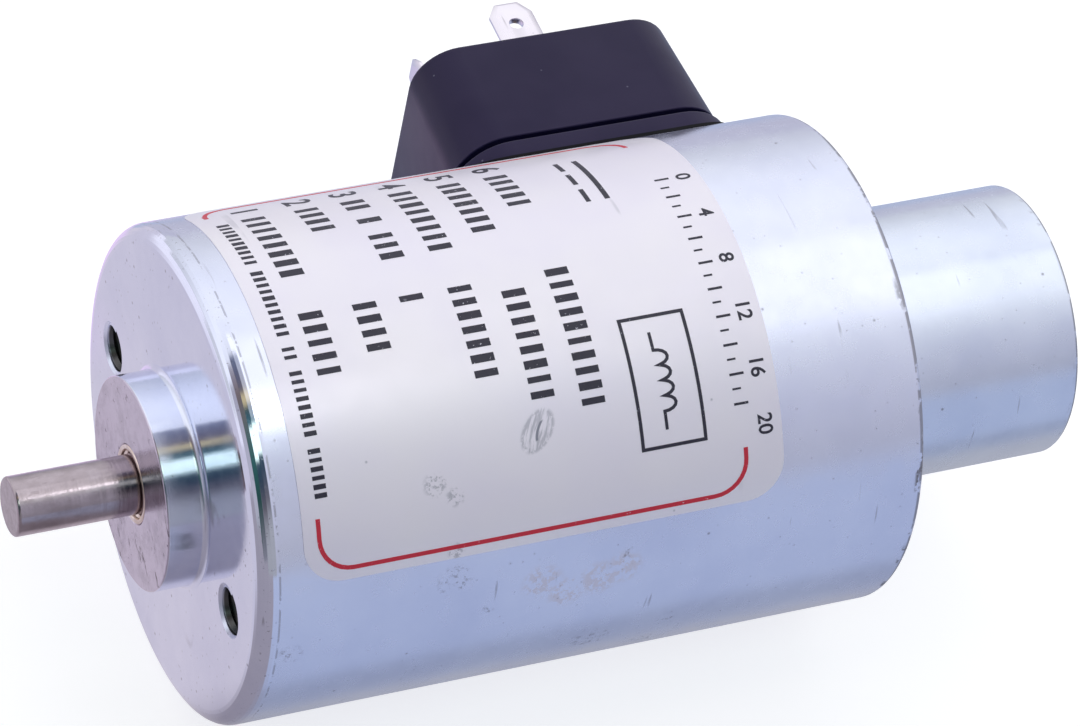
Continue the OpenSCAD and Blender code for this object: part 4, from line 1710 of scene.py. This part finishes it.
    def _blade(
        self, name: str, tip: float, foot: float, place: Callable[[float, float, float], Point]
    ) -> Piece:
        """Makes a blade.

        Args:
            name: Name of the piece.
            tip: Height of its tip.
            foot: Height of its tail's foot.
            place: Gives the point for (across, height, through).

        Returns:
            The blade with softened edges and its hole.
        """
        half, low, thick = self.blade_wide / 2, self.tail_wide / 2, self.blade_thick / 2
        taper, down = self.blade_taper

        def outline(side: float, turn: float, end: float, slope: float) -> list[tuple[float, float]]:
            """The outline with its sides drawn in by side, its tip by end and its tip's corners to fit."""
            wide, peak, root = half - side, tip - end, self.pocket_top
            return [
                (-low, foot), (low, foot), (low, root), (wide, root), (wide, tip - turn),
                (half - slope, peak), (slope - half, peak), (-wide, tip - turn), (-wide, root), (-low, root),
            ]

        full, face = outline(0.0, down, 0.0, taper), outline(0.7, 1.75, 0.4, 1.45)
        levels = ((face, -thick), (full, 0.22 - thick), (full, thick - 0.22), (face, thick))
        blade = to_object(name, stack([[place(a, h, t) for a, h in loop] for loop, t in levels]))
        turns = [math.tau * k / 40 for k in range(40)]
        ring = [(self.hole * math.cos(a), tip - self.hole_down + self.hole * math.sin(a)) for a in turns]
        cut(blade, [stack([[place(a, h, t) for a, h in ring] for t in (-1.0, 1.0)])])
        return smooth(soften(blade, 0.06, 12.0), 25.0)

    def _screw(self, name: str, side: int) -> Piece:
        """A slotted screw that holds the base to the can.

        Args:
            name: The screw's name.
            side: Side of the base's middle, 1 or -1.

        Returns:
            The screw.
        """
        spot = (self.at + side * self.screw_off, 0.0)
        foot, top = self.screw_span
        screw = to_object(name, revolve(rounded([
            (foot, 0.0), (foot, self.screw), (self.head_seat, self.screw), (self.head_seat, self.screw_head),
            (top, self.screw_head, 0.3), (top, 0.0),
        ]), Axis.PLUG, spot, 96))
        half = self.slot_wide / 2
        slot = box_shape((spot[0] - half, -40.0, -3.0), (spot[0] + half, -self.slot_floor, 3.0))
        return smooth(cut(screw, [slot]))

    def build(self, threads: ThreadTree) -> list[Piece]:
        """Makes the moulding, its metal pieces and the insert's thread.

        Args:
            threads: The tree that makes thread ribs.

        Returns:
            The pieces made.
        """
        earth = self.at + self.earth_off
        tin, zinc, brass = self.tin.material(), self.screw_zinc.material(), self.brass.material()
        made = [dress(smooth(self._moulding(), 28.0), self.plastic.material(), Body.HOUSING, ["plug_base"])]
        for number, side in ((1, 1), (2, -1)):
            mid = side * self.blade_off
            blade = self._blade(
                f"blade_{number}", self.blade_tip, self.blade_foot,
                lambda a, h, t, mid=mid: (self.at + a, -h, mid + t),
            )
            made.append(dress(blade, tin, Body.HOUSING, [f"terminal_{number}"]))
        tab = self._blade("blade_earth", self.earth_tip, self.earth_foot, lambda a, h, t: (earth + t, -h, a))
        made.append(dress(tab, tin, Body.HOUSING, ["earth_tab"]))
        for side, name in ((1, "front"), (-1, "rear")):
            made.append(dress(self._screw(f"screw_{name}", side), zinc, Body.HOUSING, [f"base_screw_{name}"]))
        insert = to_object("insert_sleeve", revolve(rounded([
            (self.insert_foot, self.insert_bore), (self.insert_foot, self.insert),
            (self.top, self.insert, 0.1), (self.top, 1.75), (self.top - 0.3, self.insert_bore),
        ]), Axis.PLUG, (self.at, 0.0), 96))
        made.append(dress(smooth(insert), brass, Body.HOUSING, ["plug_screw_insert"]))
        ribs = threads.make(
            "insert_thread", brass, Radius=1.5 * MM, Depth=0.25 * MM,
            Length=5.5 * MM, Pitch=self.insert_pitch * MM,
        )
        place = Matrix.Translation(Vector((self.at, -self.insert_foot - 0.1, 0.0)) * MM)
        ribs.data.transform(place @ Matrix.Rotation(math.pi / 2, 4, "X"))
        made.append(dress(smooth(ribs, 20.0), brass, Body.HOUSING))
        return made


@dataclass(frozen=True)
class BlockRow:
    """A row of printed blocks on the flat label, from (u, v) to end in v."""

    u: float
    v: float
    end: float
    tall: float = 2.4
    pitch: float = 1.5
    wide: float = 0.85
    seed: int = 1
    keep: float = 0.9
    narrow: float = 0.7

    def make(self, marks: MarkTree, ink: Material) -> Piece:
        """Makes the row with the given tree and ink.

        Args:
            marks: The tree that makes blocks.
            ink: Their material.

        Returns:
            The row.
        """
        count = max(1, int(round((self.end - self.v) / self.pitch)))
        made = marks.make(
            "row", ink, Count=count, Pitch=self.pitch, Tall=self.tall, Wide=self.wide, Narrowest=self.narrow,
            Keep=self.keep, Seed=self.seed,
        )
        made.data.transform(Matrix.Translation((self.u, self.v + self.wide / 2, 0.0)))
        return made


@dataclass
class RatingLabel:
    """The printed foil wrapped on the can; u runs back from its front edge, v down from its top edge."""

    radius: float = 25.0
    thick: float = 0.07
    front: float = -4.6
    length: float = 50.0
    high: float = 46.0
    low: float = -69.0
    corner: float = 4.0
    line: float = 0.45
    frame_u: tuple[float, float] = (1.6, 46.0)
    frame_v: tuple[float, float] = (1.9, 49.1)
    frame_round: float = 3.4
    frame_ends: tuple[float, float, float, float] = (4.4, 5.4, 44.6, 43.6)
    table: tuple[tuple[float, float, float], ...] = (
        (5.5, 19.8, 31.6), (11.0, 14.1, 29.3), (15.8, 19.8, 25.0),
        (20.8, 18.7, 34.4), (25.9, 17.4, 36.4), (30.9, 14.5, 39.0),
    )
    columns: tuple[float, float, float] = (4.8, 7.4, 23.4)
    small_print: BlockRow = BlockRow(2.2, 8.0, 42.0, 1.25, 0.85, 0.52, 77, 0.88)
    long_ticks: BlockRow = BlockRow(46.0, 14.0, 43.2, 1.5, 2.9, 0.25, 3, 1.0, 1.0)
    short_ticks: BlockRow = BlockRow(45.75, 15.45, 41.0, 0.9, 2.9, 0.2, 4, 1.0, 1.0)
    box_u: tuple[float, float] = (35.3, 41.9)
    box_v: tuple[float, float] = (30.2, 43.0)
    coil_u: float = 38.0
    coil_v: tuple[float, float, float] = (31.8, 33.6, 41.4)
    hump: tuple[float, float] = (1.3, 1.5)
    current_u: tuple[float, float] = (39.6, 37.6)
    current_v: tuple[float, float] = (7.0, 15.6)
    dash: tuple[float, float] = (2.2, 3.2)
    scale_u: float = 48.2
    scale_v: float = 14.2
    scale_pitch: float = 5.684
    scale_step: int = 4
    sheet: LabelFinish = field(default_factory=LabelFinish)
    dark: InkFinish = field(default_factory=lambda: InkFinish("ink_dark", (0.020, 0.018, 0.040)))
    red: InkFinish = field(default_factory=lambda: InkFinish("ink_red", (0.66, 0.02, 0.05), wear=0.72))

    @property
    def height(self) -> float:
        """Length of the label round the can."""
        return math.radians(self.high - self.low) * (self.radius + self.thick)

    def _wrap(self, bm: Mesh) -> Mesh:
        """Wraps flat (u, v, depth) points in millimetres on to the can.

        Args:
            bm: The flat mesh.

        Returns:
            The same mesh, wrapped.
        """
        for vert in bm.verts:
            u, v, w = vert.co
            r = self.radius + self.thick + w
            a = math.radians(self.high) - v / (self.radius + self.thick)
            vert.co = Vector((self.front - u, -r * math.sin(a), r * math.cos(a))) * MM
        bmesh.ops.recalc_face_normals(bm, faces=bm.faces)
        return bm

    def _foil(self) -> Piece:
        """The foil itself, with round corners.

        Returns:
            The foil.
        """
        r, tall = self.corner, self.height
        rows = [
            (v, r - math.sqrt(max(r * r - (r - v) ** 2, 0.0)))
            for v in (r * (1 - math.cos(math.pi / 2 * i / 10)) for i in range(11))
        ]
        middle = [(r + (tall - 2 * r) * i / 60, 0.0) for i in range(1, 60)]
        rows = rows + middle + [(tall - v, inset) for v, inset in reversed(rows)]
        bm = bmesh.new()
        sheets = []
        for depth in (-self.thick + 0.01, 0.0):
            sheets.append([
                [bm.verts.new((inset + (self.length - 2 * inset) * k / 12, v, depth)) for k in range(13)]
                for v, inset in rows
            ])
        for sheet in sheets:
            for a, b in zip(sheet, sheet[1:]):
                for k in range(12):
                    bm.faces.new((a[k], a[k + 1], b[k + 1], b[k]))
        low, high = sheets
        for a, b in zip(range(len(rows) - 1), range(1, len(rows))):
            for k in (0, 12):
                bm.faces.new((low[a][k], low[b][k], high[b][k], high[a][k]))
        for row in (0, -1):
            for k in range(12):
                bm.faces.new((low[row][k], low[row][k + 1], high[row][k + 1], high[row][k]))
        return to_object("label_sheet", self._wrap(bm))

    @staticmethod
    def _stroke(
        bm: Mesh, path: Sequence[tuple[float, float]], width: float, closed: bool = False
    ) -> None:
        """Draws a flat line of the given width along a path of (u, v) points.

        Args:
            bm: Mesh to draw into.
            path: Points of the line.
            width: Its width.
            closed: Whether it ends where it starts.
        """
        dense: list[Vector] = []
        count = len(path)
        for i in range(count if closed else count - 1):
            a, b = Vector(path[i]), Vector(path[(i + 1) % count])
            pieces = max(1, int((b - a).length / 0.8))
            dense += [a.lerp(b, k / pieces) for k in range(pieces)]
        if not closed:
            dense.append(Vector(path[-1]))
        sides = []
        for i, here in enumerate(dense):
            before = dense[i - 1] if closed or i else here
            after = dense[(i + 1) % len(dense)] if closed or i < len(dense) - 1 else here
            one = (here - before).normalized() if here != before else (after - here).normalized()
            two = (after - here).normalized() if here != after else one
            bend = (one + two).normalized() if (one + two).length > 1e-4 else two
            reach = width / 2 / max(bend.dot(two), 0.5)
            across = Vector((-bend.y, bend.x)) * reach
            sides.append([
                [bm.verts.new((*(here + s * across), depth)) for s in (-1, 1)] for depth in (-0.02, 0.025)
            ])
        pairs = list(zip(sides, sides[1:])) + ([(sides[-1], sides[0])] if closed else [])
        for a, b in pairs:
            bm.faces.new((a[0][0], a[0][1], b[0][1], b[0][0]))
            bm.faces.new((a[1][0], a[1][1], b[1][1], b[1][0]))
            for s in (0, 1):
                bm.faces.new((a[0][s], b[0][s], b[1][s], a[1][s]))
        if not closed:
            for end in (sides[0], sides[-1]):
                bm.faces.new((end[0][0], end[0][1], end[1][1], end[1][0]))

    @staticmethod
    def _arc(
        u: float, v: float, r: float, start: float, end: float, steps: int = 8
    ) -> list[tuple[float, float]]:
        """Points of an arc about (u, v), angles in degrees from +u towards +v."""
        angles = [math.radians(start + (end - start) * i / steps) for i in range(steps + 1)]
        return [(u + r * math.cos(a), v + r * math.sin(a)) for a in angles]

    def _frame(self) -> Piece:
        """The red frame, broken where the small print and the scale stand.

        Returns:
            The frame.
        """
        bm = bmesh.new()
        (u0, u1), (v0, v1), r = self.frame_u, self.frame_v, self.frame_round
        first, second, third, last = self.frame_ends
        top = [*self._arc(u0 + r, v0 + r, r, 180, 270), *self._arc(u1 - r, v0 + r, r, 270, 360)]
        self._stroke(bm, [(u0, first), (u0, v0 + r), *top, (u1, second)], self.line)
        bottom = [*self._arc(u1 - r, v1 - r, r, 0, 90), *self._arc(u0 + r, v1 - r, r, 90, 180)]
        self._stroke(bm, [(u1, third), *bottom, (u0, last)], self.line)
        return to_object("label_frame_print", self._wrap(bm))

    def _digits(self, text: str, u: float, v: float, tall: float) -> Piece:
        """A plain number, centred at (u, v) with its top towards +u, in flat label points.

        Args:
            text: The digits.
            u: Place along the can.
            v: Place round it.
            tall: Their height.

        Returns:
            The number.
        """
        curve = bpy.data.curves.new("number", "FONT")
        curve.body = text
        curve.size = tall / 0.7
        curve.align_x = "CENTER"
        curve.align_y = "CENTER"
        curve.extrude = 0.025
        curve.offset = 0.02 * tall
        curve.resolution_u = 4
        glyph = bpy.data.objects.new("number", curve)
        bpy.context.scene.collection.objects.link(glyph)
        bpy.context.view_layer.update()
        graph = bpy.context.evaluated_depsgraph_get()
        mesh = bpy.data.meshes.new_from_object(glyph.evaluated_get(graph))
        bpy.data.objects.remove(glyph)
        bpy.data.curves.remove(curve)
        mesh.transform(Matrix(((0, 1, 0, u), (1, 0, 0, v), (0, 0, 1, 0), (0, 0, 0, 1))))
        obj = bpy.data.objects.new("number", mesh)
        bpy.context.scene.collection.objects.link(obj)
        return obj

    def _signs(self) -> Piece:
        """A boxed coil sign and the plain sign for direct current.

        Returns:
            The signs.
        """
        bm = bmesh.new()
        (left, right), (top, bottom) = self.box_u, self.box_v
        self._stroke(bm, [(left, top), (right, top), (right, bottom), (left, bottom)], 0.35, True)
        lead_in, start, lead_out = self.coil_v
        high, pitch = self.hump
        humps: list[tuple[float, float]] = [(self.coil_u, lead_in), (self.coil_u, start)]
        for k in range(4):
            for a in (math.pi * i / 8 for i in range(1, 9)):
                humps.append((
                    self.coil_u + high * math.sin(a), start + pitch * k + pitch / 2 * (1 - math.cos(a))
                ))
        humps.append((self.coil_u, lead_out))
        self._stroke(bm, humps, 0.32)
        (line_u, dash_u), (first, last) = self.current_u, self.current_v
        long, pitch = self.dash
        self._stroke(bm, [(line_u, first), (line_u, last)], 0.55)
        for k in range(3):
            self._stroke(bm, [(dash_u, first + pitch * k), (dash_u, first + long + pitch * k)], 0.5)
        return to_object("signs", bm)

    def _print(self, marks: MarkTree, ink: Material) -> Piece:
        """The dark printing: numbered rows, a boxed coil sign, a current sign, a scale and small print.

        Args:
            marks: The tree that makes rows of blocks.
            ink: The dark ink.

        Returns:
            All dark printing as one piece.
        """
        parts: list[Piece] = []
        number_v, left_v, right_v = self.columns
        for number, (u, left_end, right_end) in enumerate(self.table, 1):
            parts.append(self._digits(str(number), u, number_v, 2.7))
            parts.append(BlockRow(u, left_v, left_end, seed=number).make(marks, ink))
            parts.append(BlockRow(u, right_v, right_end, seed=number + 20, keep=0.95).make(marks, ink))
        parts += [rows.make(marks, ink) for rows in (self.small_print, self.long_ticks, self.short_ticks)]
        for k in range(6):
            mark_v = self.scale_v + self.scale_pitch * k
            parts.append(self._digits(str(self.scale_step * k), self.scale_u, mark_v, 1.5))
        parts.append(self._signs())
        joined = merge(parts, "label_dark_print")
        bm = bmesh.new()
        bm.from_mesh(joined.data)
        self._wrap(bm).to_mesh(joined.data)
        bm.free()
        return joined

    def build(self, marks: MarkTree) -> list[Piece]:
        """Makes the foil and its printing.

        Args:
            marks: The tree that makes rows of blocks.

        Returns:
            The pieces made.
        """
        ink = self.dark.material()
        return [
            dress(smooth(self._foil(), 40.0), self.sheet.material(), Body.HOUSING, ["label_foil"]),
            dress(smooth(self._frame(), 40.0), self.red.material(), Body.HOUSING),
            dress(smooth(self._print(marks, ink), 40.0), ink, Body.HOUSING),
        ]


@dataclass
class InnerParts:
    """Finishes of the nodes that keep their own shape."""

    washer: MouldedFinish = field(default_factory=lambda: MouldedFinish(
        "washer_film", (0.42, 0.34, 0.16), (0.5, 0.42, 0.22), 0.3
    ))
    brass: TurnedMetalFinish = field(default_factory=lambda: TurnedMetalFinish(
        "tube_brass", (0.72, 0.55, 0.26), (0.45, 0.33, 0.14), 0.26
    ))
    bobbin: MouldedFinish = field(default_factory=lambda: MouldedFinish(
        "bobbin_nylon", (0.035, 0.05, 0.05), (0.05, 0.065, 0.065), 0.45
    ))
    wire: TurnedMetalFinish = field(default_factory=lambda: TurnedMetalFinish(
        "enamelled_copper", (0.62, 0.27, 0.12), (0.36, 0.13, 0.06), 0.3, 2400.0, 1.0
    ))
    tape: MouldedFinish = field(default_factory=lambda: MouldedFinish(
        "coil_tape", (0.72, 0.62, 0.30), (0.66, 0.55, 0.25), 0.35
    ))
    rubber: MouldedFinish = field(default_factory=lambda: MouldedFinish(
        "black_rubber", (0.006, 0.006, 0.009), (0.010, 0.010, 0.013), 0.7, 2600.0, 0.01, specular=0.12
    ))
    grey_rubber: MouldedFinish = field(default_factory=lambda: MouldedFinish(
        "grey_rubber", (0.10, 0.10, 0.11), (0.13, 0.13, 0.14), 0.6, 2600.0, 0.02
    ))
    red_lead: MouldedFinish = field(default_factory=lambda: MouldedFinish(
        "red_lead", (0.5, 0.03, 0.025), (0.4, 0.025, 0.02), 0.4, 5200.0, 0.02
    ))
    slide: MouldedFinish = field(default_factory=lambda: MouldedFinish(
        "slide_ptfe", (0.80, 0.78, 0.72), (0.74, 0.72, 0.66), 0.32, 3000.0, 0.02
    ))
    pin: TurnedMetalFinish = field(default_factory=lambda: TurnedMetalFinish(
        "pin_steel", (0.6, 0.6, 0.63), (0.36, 0.36, 0.4), 0.25
    ))

    def build(self, nodes: dict[str, Piece]) -> None:
        """Gives each carried-over node its finish.

        Args:
            nodes: The frame's nodes by name.
        """
        black, grey = self.rubber.material(), self.grey_rubber.material()
        table = {
            "anti_stick_washer": self.washer.material(), "guide_tube": self.brass.material(),
            "coil_bobbin": self.bobbin.material(), "coil_winding": self.wire.material(),
            "winding_tape": self.tape.material(), "coil_cushion": grey, "rear_stop_washer": black,
            "rear_seal_ring": black, "base_seal": black, "lead_wire_2": black,
            "lead_wire_1": self.red_lead.material(), "wire_grommet": grey,
            "slide_ring": self.slide.material(), "cross_pin": self.pin.material(),
        }
        for name, node in nodes.items():
            if name in table:
                node.data.materials.clear()
                node.data.materials.append(table[name])
                LOG.info("%s keeps its shape", name)
            elif not node.hide_render:
                LOG.warning("%s has no finish", name)


# ---- studio


@dataclass
class Studio:
    """Camera, floor, lamps and surroundings."""

    lens: float = 197.795
    place: Point = (0.16920627, 0.34766924, 0.43443333)
    right: Point = (-0.9203565984, 0.3593507202, 0.1543074583)
    up: Point = (-0.1697861068, -0.7225942345, 0.6700971945)
    back: Point = (0.3523015892, 0.5905291120, 0.7260571315)
    floor_z: float = -0.02502
    gain: float = 1.08
    # Level of the dome by its angle round X, in degrees from straight up.
    sky: tuple[tuple[float, float], ...] = (
        (-90.0, 0.66), (-81.0, 0.74), (-65.0, 0.90), (-49.0, 1.0), (-33.0, 1.04), (-15.0, 0.92), (0.0, 0.9),
        (18.0, 0.92), (24.0, 0.88), (31.0, 0.78), (47.0, 0.64), (63.0, 0.55), (79.0, 0.48), (90.0, 0.46),
    )
    # Cards ahead of the rod, then those beside it: colour by the Y part of the direction looked in.
    ahead: tuple[tuple[float, Colour], ...] = (
        (-0.15, (0.17, 0.19, 0.27)), (0.0, (0.13, 0.13, 0.19)), (0.10, (0.17, 0.15, 0.17)),
        (0.155, (0.74, 0.60, 0.32)),
        (0.205, (0.60, 0.50, 0.28)), (0.25, (0.05, 0.10, 0.11)), (0.36, (0.05, 0.16, 0.20)),
        (0.39, (1.50, 1.80, 1.60)),
        (0.572, (1.40, 1.70, 1.50)), (0.597, (0.02, 0.06, 0.09)), (0.72, (0.04, 0.06, 0.09)),
        (0.82, (0.13, 0.12, 0.14)),
        (0.885, (0.30, 0.30, 0.32)), (0.93, (0.40, 0.40, 0.42)),
    )
    aside: tuple[tuple[float, Colour], ...] = (
        (-0.18, (0.46, 0.44, 0.48)), (-0.07, (0.30, 0.26, 0.29)), (0.03, (0.22, 0.17, 0.16)),
        (0.20, (0.15, 0.16, 0.15)),
        (0.28, (0.10, 0.16, 0.15)), (0.44, (0.04, 0.13, 0.12)), (0.60, (0.02, 0.07, 0.06)),
        (0.69, (0.10, 0.12, 0.13)),
        (0.78, (0.28, 0.27, 0.31)), (0.90, (0.42, 0.41, 0.45)),
    )
    outward: Colour = (0.52, 0.50, 0.56)

    def camera(self) -> None:
        """Makes the camera and gives it to the scene."""
        data = bpy.data.cameras.new("camera")
        data.lens = self.lens
        data.sensor_width = 36.0
        data.clip_start = 0.02
        data.clip_end = 20.0
        turn = Matrix((self.right, self.up, self.back)).transposed()
        cam = bpy.data.objects.new("camera", data)
        cam.matrix_world = Matrix.LocRotScale(Vector(self.place), turn.to_quaternion(), None)
        bpy.context.scene.collection.objects.link(cam)
        bpy.context.scene.camera = cam

    def floor(self) -> None:
        """Makes the pale floor that the can lies on."""
        bm = bmesh.new()
        bmesh.ops.create_grid(bm, x_segments=8, y_segments=8, size=1.6)
        bmesh.ops.translate(bm, verts=bm.verts, vec=(0.0, 0.0, self.floor_z))
        floor = to_object("studio_floor", bm)
        floor.data.materials.append(StudioFloorFinish().material())

    def lamp(
        self, name: str, place: Point, aim: Point, size: tuple[float, float], power: float,
        colour: Colour = (1.0, 1.0, 1.0),
    ) -> None:
        """Adds a soft rectangular lamp.

        Args:
            name: The lamp's name.
            place: Where it hangs, in metres.
            aim: The point that it faces.
            size: Its width and height in metres.
            power: Its power in watts.
            colour: Its colour.
        """
        data = bpy.data.lights.new(name, "AREA")
        data.shape = "RECTANGLE"
        data.size, data.size_y = size
        data.energy = power
        data.color = colour
        lamp = bpy.data.objects.new(name, data)
        facing = (Vector(aim) - Vector(place)).to_track_quat("-Z", "Y")
        lamp.matrix_world = Matrix.LocRotScale(Vector(place), facing, None)
        bpy.context.scene.collection.objects.link(lamp)

    def surroundings(self) -> None:
        """Builds the world: white to the lens, otherwise a soft dome with a dark card in front of the rod."""
        world = bpy.data.worlds.new("studio")
        world.use_nodes = True
        world.node_tree.nodes.clear()
        kit = NodeKit(world.node_tree)
        way = kit.add("ShaderNodeTexCoord").outputs["Generated"]
        part = kit.add("ShaderNodeSeparateXYZ", Vector=way)
        around = kit.math("ARCTAN2", part.outputs[1], part.outputs[2])
        dome = kit.add("ShaderNodeValToRGB", Fac=kit.math("MULTIPLY_ADD", around, 1.0 / math.pi, 0.5))
        for i, (degrees, level) in enumerate(self.sky):
            stop = dome.color_ramp.elements[i] if i < 2 else dome.color_ramp.elements.new(1.0)
            stop.position = (degrees + 90.0) / 180.0
            blue = 1.03 + 0.13 * min(max((degrees - 20.0) / 40.0, 0.0), 1.0)
            stop.color = (level * self.gain, level * self.gain, level * self.gain * blue, 1.0)
        cards = []
        for stops in (self.ahead, self.aside):
            card = kit.add("ShaderNodeValToRGB", Fac=kit.math("MULTIPLY_ADD", part.outputs[1], 0.5, 0.5))
            for i, (place, colour) in enumerate(stops):
                stop = card.color_ramp.elements[i] if i < 2 else card.color_ramp.elements.new(1.0)
                stop.position = place * 0.5 + 0.5
                stop.color = (*colour, 1.0)
            cards.append(card.outputs["Color"])
        turned = kit.blend(kit.ramp(part.outputs[0], 0.40, 0.52), *cards)
        turned = kit.blend(kit.ramp(part.outputs[0], 0.86, 0.95), turned, self.outward)
        flag = kit.times(kit.ramp(part.outputs[0], -0.28, -0.08), kit.ramp(part.outputs[1], -0.21, -0.15))
        light = kit.blend(flag, dome.outputs["Color"], turned)
        seen = kit.blend(kit.add("ShaderNodeLightPath").outputs["Is Camera Ray"], light, (1.0, 1.0, 1.0))
        out = kit.add("ShaderNodeBackground", Color=seen, Strength=1.0)
        kit.add("ShaderNodeOutputWorld", Surface=out.outputs[0])
        bpy.context.scene.world = world

    def build(self) -> None:
        """Sets up everything round the object."""
        self.camera()
        self.surroundings()
        self.floor()
        self.lamp("overhead_softbox", (-0.16, 0.03, 0.58), (-0.035, 0.0, 0.0), (0.42, 0.40), 0.17)
        self.lamp("rod_strip", (-0.026, 0.038, 0.100), (0.012, 0.001, 0.002), (0.018, 0.018), 0.0021)
        bpy.context.scene.view_settings.view_transform = "Standard"


def main() -> None:
    """Builds the studio and the solenoid, piece by piece."""
    logging.basicConfig(level=logging.INFO, format="%(name)s: %(message)s")
    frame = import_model()
    Studio().build()
    threads, marks = ThreadTree(), MarkTree()
    made: list[Piece] = []
    made += HousingShell().build(threads)
    made += PoleFace().build()
    made += Armature().build(threads)
    made += RearClosure().build()
    made += PlugBase().build(threads)
    made += RatingLabel().build(marks)
    InnerParts().build(frame["nodes"])
    LOG.info("%d pieces made", len(made))


if __name__ == "__main__":
    main()
